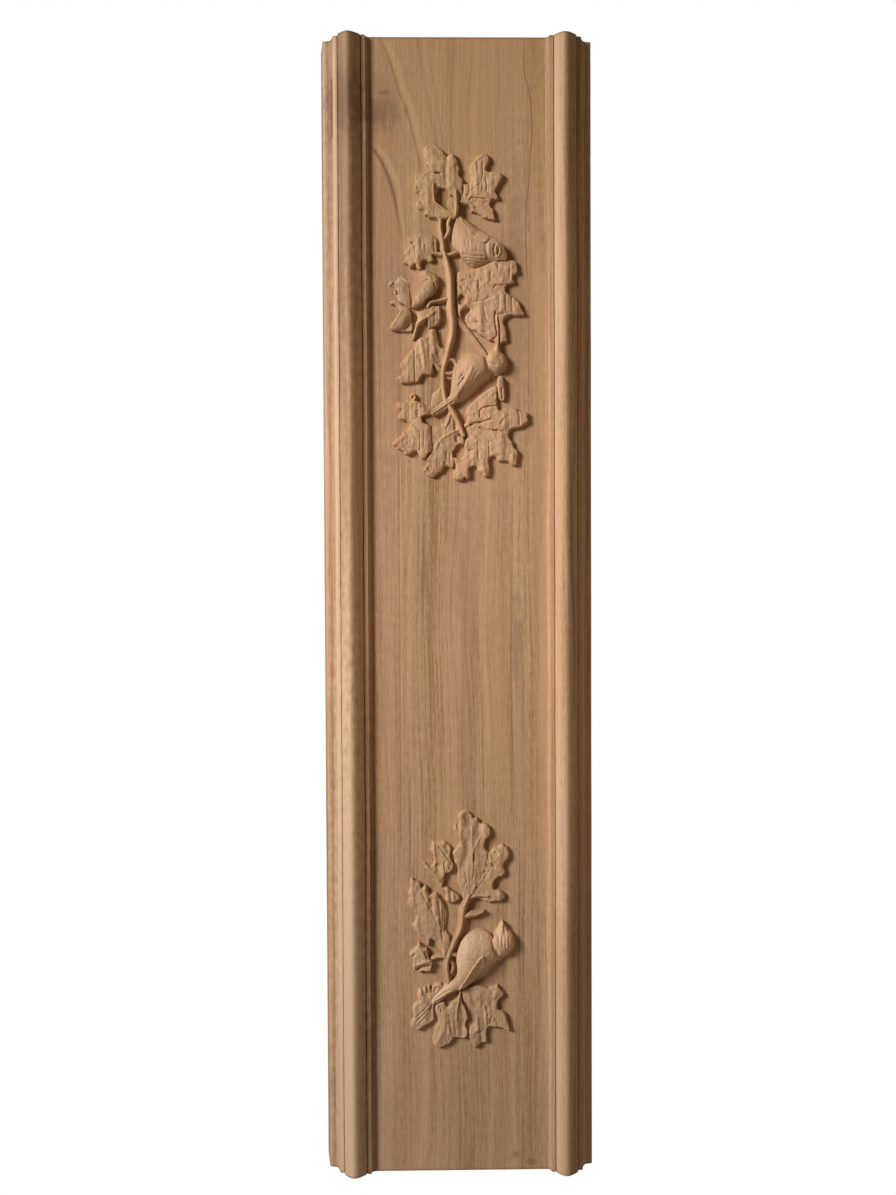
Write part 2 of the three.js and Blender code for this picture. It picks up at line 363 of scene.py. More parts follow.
class Relief:
    """A form carved on the field. Its classes say what its outline and surface are.

    Attributes:
        name: The piece's name.
        strokes: Lines that the tool cut or left standing.
        work: The unevenness of its surface.
        step: Size of the faces of its mesh.
    """

    name: str
    strokes: tuple[Stroke, ...]
    work: HandWork
    step: float

    # How much of the cutter's ribs and torn fibres the surface shows, and its least height
    SKIN = 1.0
    THINNEST = 0.25

    def outline(self, x: Array, z: Array) -> Array:
        """Returns the distance from the outline at each place, negative inside."""
        raise NotImplementedError

    def surface(self, x: Array, z: Array) -> Array:
        """Returns the plain surface's height at each place."""
        raise NotImplementedError

    def extent(self) -> tuple[float, float, float, float]:
        """Returns the lowest and highest x, then the lowest and highest z, that the form can reach."""
        raise NotImplementedError

    def height(self, x: Array, z: Array) -> Array:
        """Measures the finished surface, with the tool's lines and unevenness.

        Args:
            x: Places across the board.
            z: Places up the board.

        Returns:
            Heights above the field.
        """
        rise = self.surface(x, z) + self.work.at(x, z) + self.SKIN * (RASTER.at(x, z) + BREAKOUT.at(x, z))
        for stroke in self.strokes:
            rise = rise + stroke.at(x, z)
        return np.maximum(rise, self.THINNEST)


# The cutter ran up and down the board and left fine upright ribs in the carving
RASTER = HandWork(2, 1.0, 0.05, 6.0)
# Short fibres that it tore out give the carving a rough skin
BREAKOUT = HandWork(41, 1.3, 0.075, 1.3)


def extent_of(limbs: list[Limb], margin: float = 1.5) -> tuple[float, float, float, float]:
    """Measures the reach of limbs.

    Args:
        limbs: The limbs.
        margin: What is added on every side.

    Returns:
        The lowest and highest x, then the lowest and highest z.
    """
    ends = [end for limb in limbs for end in (limb.start, limb.end)]
    return (
        min(end.x - end.radius for end in ends) - margin,
        max(end.x + end.radius for end in ends) + margin,
        min(end.z - end.radius for end in ends) - margin,
        max(end.z + end.radius for end in ends) + margin,
    )


@dataclass(frozen=True)
class Leaf(Relief):
    """A flat form with a crisp rim, such as an oak leaf or a wing.

    Attributes:
        name: The piece's name.
        rim: Its outline.
        holes: Outlines of the places where it is pierced down to the field.
        lift: How much higher it stands than the others.
        lean: Its slope across and up the board.
        rides: A form that this one lies on, so that it rises with it.
        strokes: Veins, folds and tool lines.
        work: The unevenness of its surface.
        edge: Height of the steep part of its rim.
        crown: Height of its flat inside.
        roll: How far inside the rim the surface reaches that height.
        ragged: How far its rim wavers where the wood broke out.
        step: Size of the faces of its mesh.
    """

    name: str
    rim: Rim
    holes: tuple[Rim, ...] = ()
    lift: float = 0.0
    lean: Place = (0.0, 0.0)
    rides: "Relief | None" = None
    strokes: tuple[Stroke, ...] = ()
    work: HandWork = HandWork(3, 4.2, 0.2)
    edge: float = 1.2
    crown: float = 2.75
    roll: float = 1.0
    ragged: float = 0.16
    step: float = 0.23

    # The swell of the flat inside and how far from the rim it is full
    SWELL = 0.35
    SWELL_REACH = 5.0
    # The rim's wavering: its seed against the surface's, and its pitch
    RIM_SEED = 11
    RIM_PITCH = 1.7

    def extent(self) -> tuple[float, float, float, float]:
        """Returns the leaf's reach across and up the board."""
        return self.rim.extent()

    def outline(self, x: Array, z: Array) -> Array:
        """Measures places against the leaf's outline and its holes.

        Args:
            x: Places across the board.
            z: Places up the board.

        Returns:
            The distance from the outline, negative inside.
        """
        away = self.rim.distance(x, z)
        for hole in self.holes:
            away = np.maximum(away, -hole.distance(x, z))
        return away + HandWork(self.work.seed + self.RIM_SEED, self.RIM_PITCH, self.ragged).at(x, z)

    def surface(self, x: Array, z: Array) -> Array:
        """Measures the leaf's surface, flat inside and rolled over at its rim.

        Args:
            x: Places across the board.
            z: Places up the board.

        Returns:
            Heights above the field.
        """
        depth = -self.outline(x, z)
        roll = 1.0 - np.clip(depth / self.roll, 0.0, 1.0)
        rise = self.edge + (self.crown - self.edge) * np.sqrt(1.0 - roll * roll)
        swell = self.SWELL * smooth_step(depth / self.SWELL_REACH)
        low_x, high_x, low_z, high_z = self.extent()
        slope = self.lean[0] * (x - (low_x + high_x) / 2) + self.lean[1] * (z - (low_z + high_z) / 2)
        under = self.rides.surface(x, z) if self.rides else 0.0
        return under + rise + swell + self.lift + slope


@dataclass(frozen=True)
class Rounded(Relief):
    """A rounded form, such as a bird's body, an acorn or a stem: rows of round ends joined softly.

    Attributes:
        name: The piece's name.
        rows: The rows of ends.
        rim: Its outline, where the rows alone don't give it.
        strokes: Feathers, lines and eyes.
        work: The unevenness of its surface.
        edge: Height of the steep part of its rim.
        corner: How softly its rows join.
        step: Size of the faces of its mesh.
    """

    name: str
    rows: tuple[tuple[End, ...], ...]
    rim: Rim | None = None
    strokes: tuple[Stroke, ...] = ()
    work: HandWork = HandWork(5, 3.6, 0.1)
    edge: float = 0.8
    corner: float = 1.2
    step: float = 0.23

    # How full the dome is, how far its foot reaches past the radius, and how softly two domes meet
    BOW = 0.6
    SKIRT = 0.4
    VALLEY = 0.5
    SKIN = 0.45

    def limbs(self) -> list[Limb]:
        """Returns all limbs of the form."""
        return [limb for row in self.rows for limb in limbs_of(smooth_row(list(row)))]

    def extent(self) -> tuple[float, float, float, float]:
        """Returns the form's reach across and up the board."""
        return self.rim.extent() if self.rim else extent_of(self.limbs())

    def outline(self, x: Array, z: Array) -> Array:
        """Measures places against the form's outline.

        Args:
            x: Places across the board.
            z: Places up the board.

        Returns:
            The distance from the outline, negative inside.
        """
        if self.rim:
            return self.rim.distance(x, z)
        inside = None
        for limb in self.limbs():
            axis, radius, _ = limb.measure(x, z)
            inside = axis - radius if inside is None else soft_lower(inside, axis - radius, self.corner)
        return inside

    def surface(self, x: Array, z: Array) -> Array:
        """Measures the domed surface.

        Args:
            x: Places across the board.
            z: Places up the board.

        Returns:
            Heights above the field.
        """
        top = None
        for limb in self.limbs():
            axis, radius, height = limb.measure(x, z)
            across = np.clip(axis / (radius + self.SKIRT), 0.0, 1.0)
            dome = -(self.edge + (height - self.edge) * (1.0 - across * across) ** self.BOW)
            top = dome if top is None else soft_lower(top, dome, self.VALLEY)
        return -top


class Carver:
    """Cuts the mesh of a relief: a grid trimmed to the outline, raised, and walled down into the field."""

    # How far the walls reach into the field, how far they flare, and the heights they are divided at
    SUNK = -0.6
    FLARE = 0.14
    WALL_SHARES = (0.45, 1.0)
    # Places nearer to the outline than this share of a face are pulled onto it, in so many rounds
    PULLED = 0.56
    PULLS = 3
    # The fewest faces along a side of the grid
    FEWEST = 4
    SHARP_ANGLE = math.radians(48)

    def carve(self, form: Relief) -> bpy.types.Object:
        """Makes the object of one form.

        Args:
            form: The form to carve.

        Returns:
            The finished object, linked to the scene.
        """
        mesh = bmesh.new()
        x, z = self.lay_grid(mesh, form)
        side = self.snap(form, x, z)
        self.raise_top(mesh, form, x, z)
        self.trim(mesh, side)
        self.wall(mesh, form)
        bmesh.ops.recalc_face_normals(mesh, faces=mesh.faces)
        return finish_mesh(form.name, mesh, self.SHARP_ANGLE)

    def lay_grid(self, mesh: Mesh, form: Relief) -> tuple[Array, Array]:
        """Fills the mesh with a grid over the form's reach.

        Args:
            mesh: The empty mesh.
            form: The form to cover.

        Returns:
            The places of the grid's vertices across and up the board.
        """
        low_x, high_x, low_z, high_z = form.extent()
        across = max(self.FEWEST, round((high_x - low_x) / form.step))
        along = max(self.FEWEST, round((high_z - low_z) / form.step))
        bmesh.ops.create_grid(mesh, x_segments=across, y_segments=along, size=0.5)
        mesh.verts.ensure_lookup_table()
        flat = np.array([vertex.co.xy for vertex in mesh.verts])
        x = low_x + (flat[:, 0] + 0.5) * (high_x - low_x)
        z = low_z + (flat[:, 1] + 0.5) * (high_z - low_z)
        return x, z

    def snap(self, form: Relief, x: Array, z: Array) -> Array:
        """Moves the places nearest to the outline onto it.

        Args:
            form: The form whose outline counts.
            x: Places across the board, changed in place.
            z: Places up the board, changed in place.

        Returns:
            For each place -1 inside, 0 on the outline or 1 outside.
        """
        distance = form.outline(x, z)
        near = np.abs(distance) <= self.PULLED * form.step
        for _ in range(self.PULLS):
            across, along = slope_of(form, x[near], z[near])
            gap = form.outline(x[near], z[near])
            x[near] -= across * gap
            z[near] -= along * gap
        side = np.sign(distance)
        side[near] = 0
        return side

    def raise_top(self, mesh: Mesh, form: Relief, x: Array, z: Array) -> None:
        """Puts each vertex at its place and height.

        Args:
            mesh: The mesh.
            form: The form whose height counts.
            x: The vertices' places across the board.
            z: The vertices' places up the board.
        """
        height = form.height(x, z)
        for i, vertex in enumerate(mesh.verts):
            vertex.co = on_face(x[i], z[i], height[i])

    def trim(self, mesh: Mesh, side: Array) -> None:
        """Deletes what lies outside the outline, and splits the faces that straddle it.

        Args:
            mesh: The mesh.
            side: For each vertex -1 inside, 0 on the outline or 1 outside.
        """
        outside = {vertex for vertex, where in zip(mesh.verts, side) if where > 0}
        on_line = {vertex for vertex, where in zip(mesh.verts, side) if where == 0}
        for face in list(mesh.faces):
            corners = list(face.verts)
            out = [i for i, vertex in enumerate(corners) if vertex in outside]
            if len(out) == 1:
                before = corners[out[0] - 1]
                after = corners[(out[0] + 1) % 4]
                if before in on_line and after in on_line:
                    bmesh.utils.face_split(face, before, after)
        spare = [face for face in mesh.faces if any(vertex in outside for vertex in face.verts)]
        bmesh.ops.delete(mesh, geom=spare, context="FACES")
        loose = [vertex for vertex in mesh.verts if not vertex.link_faces]
        bmesh.ops.delete(mesh, geom=loose, context="VERTS")

    def wall(self, mesh: Mesh, form: Relief) -> None:
        """Adds the steep rim from the top's edge down into the field, and closes it below.

        Args:
            mesh: The mesh, whose only open edges are the top's rim.
            form: The form whose outline the rim follows.
        """
        rim = [edge for edge in mesh.edges if edge.is_boundary]
        for share in self.WALL_SHARES:
            made = bmesh.ops.extrude_edge_only(mesh, edges=rim)["geom"]
            lower = [item for item in made if isinstance(item, bmesh.types.BMVert)]
            x = np.array([vertex.co.x for vertex in lower]) / MM
            z = np.array([vertex.co.z for vertex in lower]) / MM
            top = np.array([-vertex.co.y for vertex in lower]) / MM - FIELD_DEPTH
            across, along = slope_of(form, x, z)
            flare = self.FLARE * share
            height = top + (self.SUNK - top) * share
            for i, vertex in enumerate(lower):
                vertex.co = on_face(x[i] + across[i] * flare, z[i] + along[i] * flare, height[i])
            rim = [item for item in made if isinstance(item, bmesh.types.BMEdge) and item.is_boundary]
        bmesh.ops.holes_fill(mesh, edges=rim, sides=0)


def slope_of(form: Relief, x: Array, z: Array) -> tuple[Array, Array]:
    """Finds the outward direction of a form's outline.

    Args:
        form: The form.
        x: Places across the board.
        z: Places up the board.

    Returns:
        The direction's parts across and up the board, of length 1 together.
    """
    across = form.outline(x + PROBE, z) - form.outline(x - PROBE, z)
    along = form.outline(x, z + PROBE) - form.outline(x, z - PROBE)
    length = np.maximum(np.hypot(across, along), TINY)
    return across / length, along / length


def on_face(x: float, z: float, height: float) -> Vector:
    """Returns the point of the scene for a place on the face and a height above the field."""
    return Vector((x * MM, -(FIELD_DEPTH + height) * MM, z * MM))


def finish_mesh(name: str, mesh: Mesh, sharp: float) -> bpy.types.Object:
    """Turns a bmesh into a linked object with smooth faces and sharp arrises.

    Args:
        name: The piece's name.
        mesh: The bmesh, which is freed.
        sharp: The angle from which an edge stays sharp, in radians.

    Returns:
        The object.
    """
    data = bpy.data.meshes.new(name)
    for face in mesh.faces:
        face.smooth = True
    mesh.to_mesh(data)
    mesh.free()
    data.set_sharp_from_angle(angle=sharp)
    piece = bpy.data.objects.new(name, data)
    bpy.context.scene.collection.objects.link(piece)
    return piece


@dataclass
class Board:
    """The board with its mirrored edge mouldings, drawn along its length.

    Attributes:
        field_half_width: Half the flat field's width.
        face_half_width: Half the width at the outer front corners.
        cove_width: Width of the inner cove, from the field to the fillet.
        inner_fillet_height: Height of the fillet between the cove and the bead.
        inner_fillet_width: Its width.
        quirk: Width of the narrow groove on each side of the bead.
        quirk_depth: How far that groove lies below its edges.
        quirk_floor: Width of the groove's flat floor.
        bead_width: Width of the bead with one groove.
        bead_spring: Height at which the bead springs from the inner groove.
        outer_fillet_height: Height of the fillet outside the bead.
        outer_fillet_width: Its width.
        outer_fillet_fall: How far it falls towards the outside.
        outer_cove_width: Width of the outer cove.
        outer_flat_height: Height of the flat outside it.
        outer_corner_height: Height of the outer front corner.
        corner_run: Width of that corner's rounding.
        corner_fall: Height of that corner's rounding.
        bead_point: How pointed the bead's crest is, 0 for an ellipse.
        bead_ease: How blunt the point itself is.
        right_lean: How far the right bead's crest leans towards the field.
        left_lean: The same of the left bead, negative for outwards.
        ease: How far the sanding took the fillets' edges down.
        arris: Width of the bevel that it left on the other edges.
        burr: How far the fillet's inner edge and the outer groove's floor stand off.
        field_steps: Faces across half the field.
        cove_steps: Faces round the inner cove.
        outer_steps: Faces round the outer cove.
        bead_steps: Faces round the bead.
        lengths: Faces along the board.
    """

    field_half_width: float = 45.3
    face_half_width: float = 70.3
    cove_width: float = 2.5
    inner_fillet_height: float = 3.2
    inner_fillet_width: float = 2.1
    quirk: float = 0.25
    quirk_depth: float = 0.9
    quirk_floor: float = 0.1
    bead_width: float = 11.8
    bead_spring: float = 3.0
    outer_fillet_height: float = 1.7
    outer_fillet_width: float = 2.6
    outer_fillet_fall: float = 0.45
    outer_cove_width: float = 3.4
    outer_flat_height: float = -5.6
    outer_corner_height: float = -6.0
    corner_run: float = 0.5
    corner_fall: float = 0.45
    bead_point: float = 0.65
    bead_ease: float = 0.12
    right_lean: float = 0.55
    left_lean: float = -0.45
    ease: float = 0.25
    arris: float = 0.2
    burr: float = 0.05
    field_steps: int = 24
    cove_steps: int = 7
    outer_steps: int = 8
    bead_steps: int = 28
    lengths: int = 120

    # The slow wavering of the mouldings, sideways and outwards, and where the sideways one is read
    SIDEWAYS = HandWork(21, 60.0, 0.09)
    OUTWARDS = HandWork(22, 38.0, 0.07)
    SIDE_PLACE = 40.0
    SHARP_ANGLE = math.radians(34)

    def half_section(self, lean: float) -> list[Place]:
        """Returns the section from the field's middle to the back.

        Args:
            lean: How far the bead's crest leans towards the field, in millimetres.

        Returns:
            Places across the board from its middle, with their heights above the field.
        """
        fillet = self.field_half_width + self.cove_width
        fillet_end = fillet + self.inner_fillet_width
        bead = fillet_end + self.quirk
        bead_end = bead + self.bead_width - self.quirk_floor
        outer = bead_end + self.quirk
        outer_end = outer + self.outer_fillet_width - self.quirk
        cove_end = outer_end + self.outer_cove_width
        middle = (bead + bead_end) / 2
        high = self.inner_fillet_height
        low = self.outer_fillet_height
        fallen = low - self.outer_fillet_fall
        floor = self.outer_flat_height
        knee = outer_end + self.outer_cove_width / 4
        rows = [(self.field_half_width * i / self.field_steps, 0.0) for i in range(self.field_steps)]
        rows += quarter((self.field_half_width, 0.0), (fillet, 0.0), (fillet, high), self.cove_steps)
        rows += [(fillet + self.ease, high + self.burr), (fillet_end - self.arris, high)]
        rows += [(fillet_end, high - self.ease)]
        rows += [(fillet_end + self.quirk_floor, self.bead_spring - self.quirk_depth)]
        rows += [(middle + x, height) for x, height in self.bead_arc(bead_end - middle, lean)]
        rows += [(bead_end + self.burr, low - self.quirk_depth)]
        rows += [(outer, low - self.arris), (outer + self.arris, low), (outer_end - self.ease, fallen)]
        cove_start = (outer_end, fallen - self.arris)
        rows += quarter(cove_start, (knee, floor), (cove_end, floor), self.outer_steps)
        rows += [(self.face_half_width - self.corner_run, self.outer_corner_height)]
        rows += [(self.face_half_width, self.outer_corner_height - self.corner_fall)]
        rows += [(BACK_HALF_WIDTH, -FIELD_DEPTH)]
        return rows

    def bead_arc(self, half_width: float, lean: float) -> list[Place]:
        """Returns the bead's curve, tighter at its crest than an ellipse, from its inner to its outer side.

        Args:
            half_width: Half the bead's width where it springs.
            lean: How far its crest leans towards the field, in millimetres.

        Returns:
            Places across the bead from its middle, with their heights above the field.
        """
        rows = []
        for i in range(self.bead_steps + 1):
            x = -math.cos(math.pi * i / self.bead_steps)
            round_top = math.sqrt(1 - x * x)
            pointed_top = math.sqrt(1 + self.bead_ease) - math.sqrt(x * x + self.bead_ease)
            pointed_top /= math.sqrt(1 + self.bead_ease) - math.sqrt(self.bead_ease)
            rise = round_top + (pointed_top - round_top) * self.bead_point
            height = self.bead_spring + (BEAD_HEIGHT - self.bead_spring) * rise
            rows.append((x * half_width - lean * (1 - x * x), height))
        return rows

    def build(self) -> bpy.types.Object:
        """Draws the section along the board's length.

        Returns:
            The board's object.
        """
        right = self.half_section(self.right_lean)
        left = [(-x, height) for x, height in reversed(self.half_section(self.left_lean))]
        section = left[:-1] + right
        mesh = bmesh.new()
        row = [mesh.verts.new(on_face(x, -HALF_LENGTH, height)) for x, height in section]
        face = mesh.faces.new(row)
        step = 2 * HALF_LENGTH / self.lengths
        for length in range(self.lengths):
            grown = bmesh.ops.extrude_face_region(mesh, geom=[face])["geom"]
            new = [item for item in grown if isinstance(item, bmesh.types.BMVert)]
            bmesh.ops.translate(mesh, verts=new, vec=(0, 0, step * MM))
            old = face
            face = next(item for item in grown if isinstance(item, bmesh.types.BMFace))
            if old.is_valid and length > 0:
                bmesh.ops.delete(mesh, geom=[old], context="FACES_ONLY")
        bmesh.ops.remove_doubles(mesh, verts=mesh.verts, dist=1e-7)
        bmesh.ops.recalc_face_normals(mesh, faces=mesh.faces)
        self.uneven(mesh)
        return finish_mesh("board", mesh, self.SHARP_ANGLE)

    def uneven(self, mesh: Mesh) -> None:
        """Lets the mouldings and the field waver a little, as sanded wood does.

        Args:
            mesh: The board's mesh.
        """
        x = np.array([vertex.co.x for vertex in mesh.verts]) / MM
        z = np.array([vertex.co.z for vertex in mesh.verts]) / MM
        side = self.SIDEWAYS.at(np.sign(x) * self.SIDE_PLACE, z)
        rise = self.OUTWARDS.at(x, z)
        for i, vertex in enumerate(mesh.verts):
            if vertex.co.y < -FIELD_DEPTH * MM * 0.5:
                vertex.co.x += side[i] * MM
                vertex.co.y -= rise[i] * MM


def quarter(start: Place, knee: Place, end: Place, steps: int) -> list[Place]:
    """Draws a hollow curve that is pulled towards its knee.

    Args:
        start: Where it starts.
        knee: The place that pulls it.
        end: Where it ends.
        steps: How many stretches it has.

    Returns:
        The places of the curve.
    """
    rows = []
    for i in range(steps + 1):
        t = i / steps
        weights = ((1 - t) ** 2, 2 * t * (1 - t), t * t)
        rows.append(tuple(sum(w * p[axis] for w, p in zip(weights, (start, knee, end))) for axis in (0, 1)))
    return rows


def stem(name: str, height: float, *places: tuple[float, float, float]) -> Rounded:
    """Returns a stem through places of x, z and half width."""
    return Rounded(name, (tuple(End(x, z, radius, height) for x, z, radius in places),), edge=0.9)


def lines(depth: float, width: float, *runs: tuple[Place, ...]) -> tuple[Stroke, ...]:
    """Returns one stroke for each run of places."""
    return tuple(Stroke(run, depth, width) for run in runs)


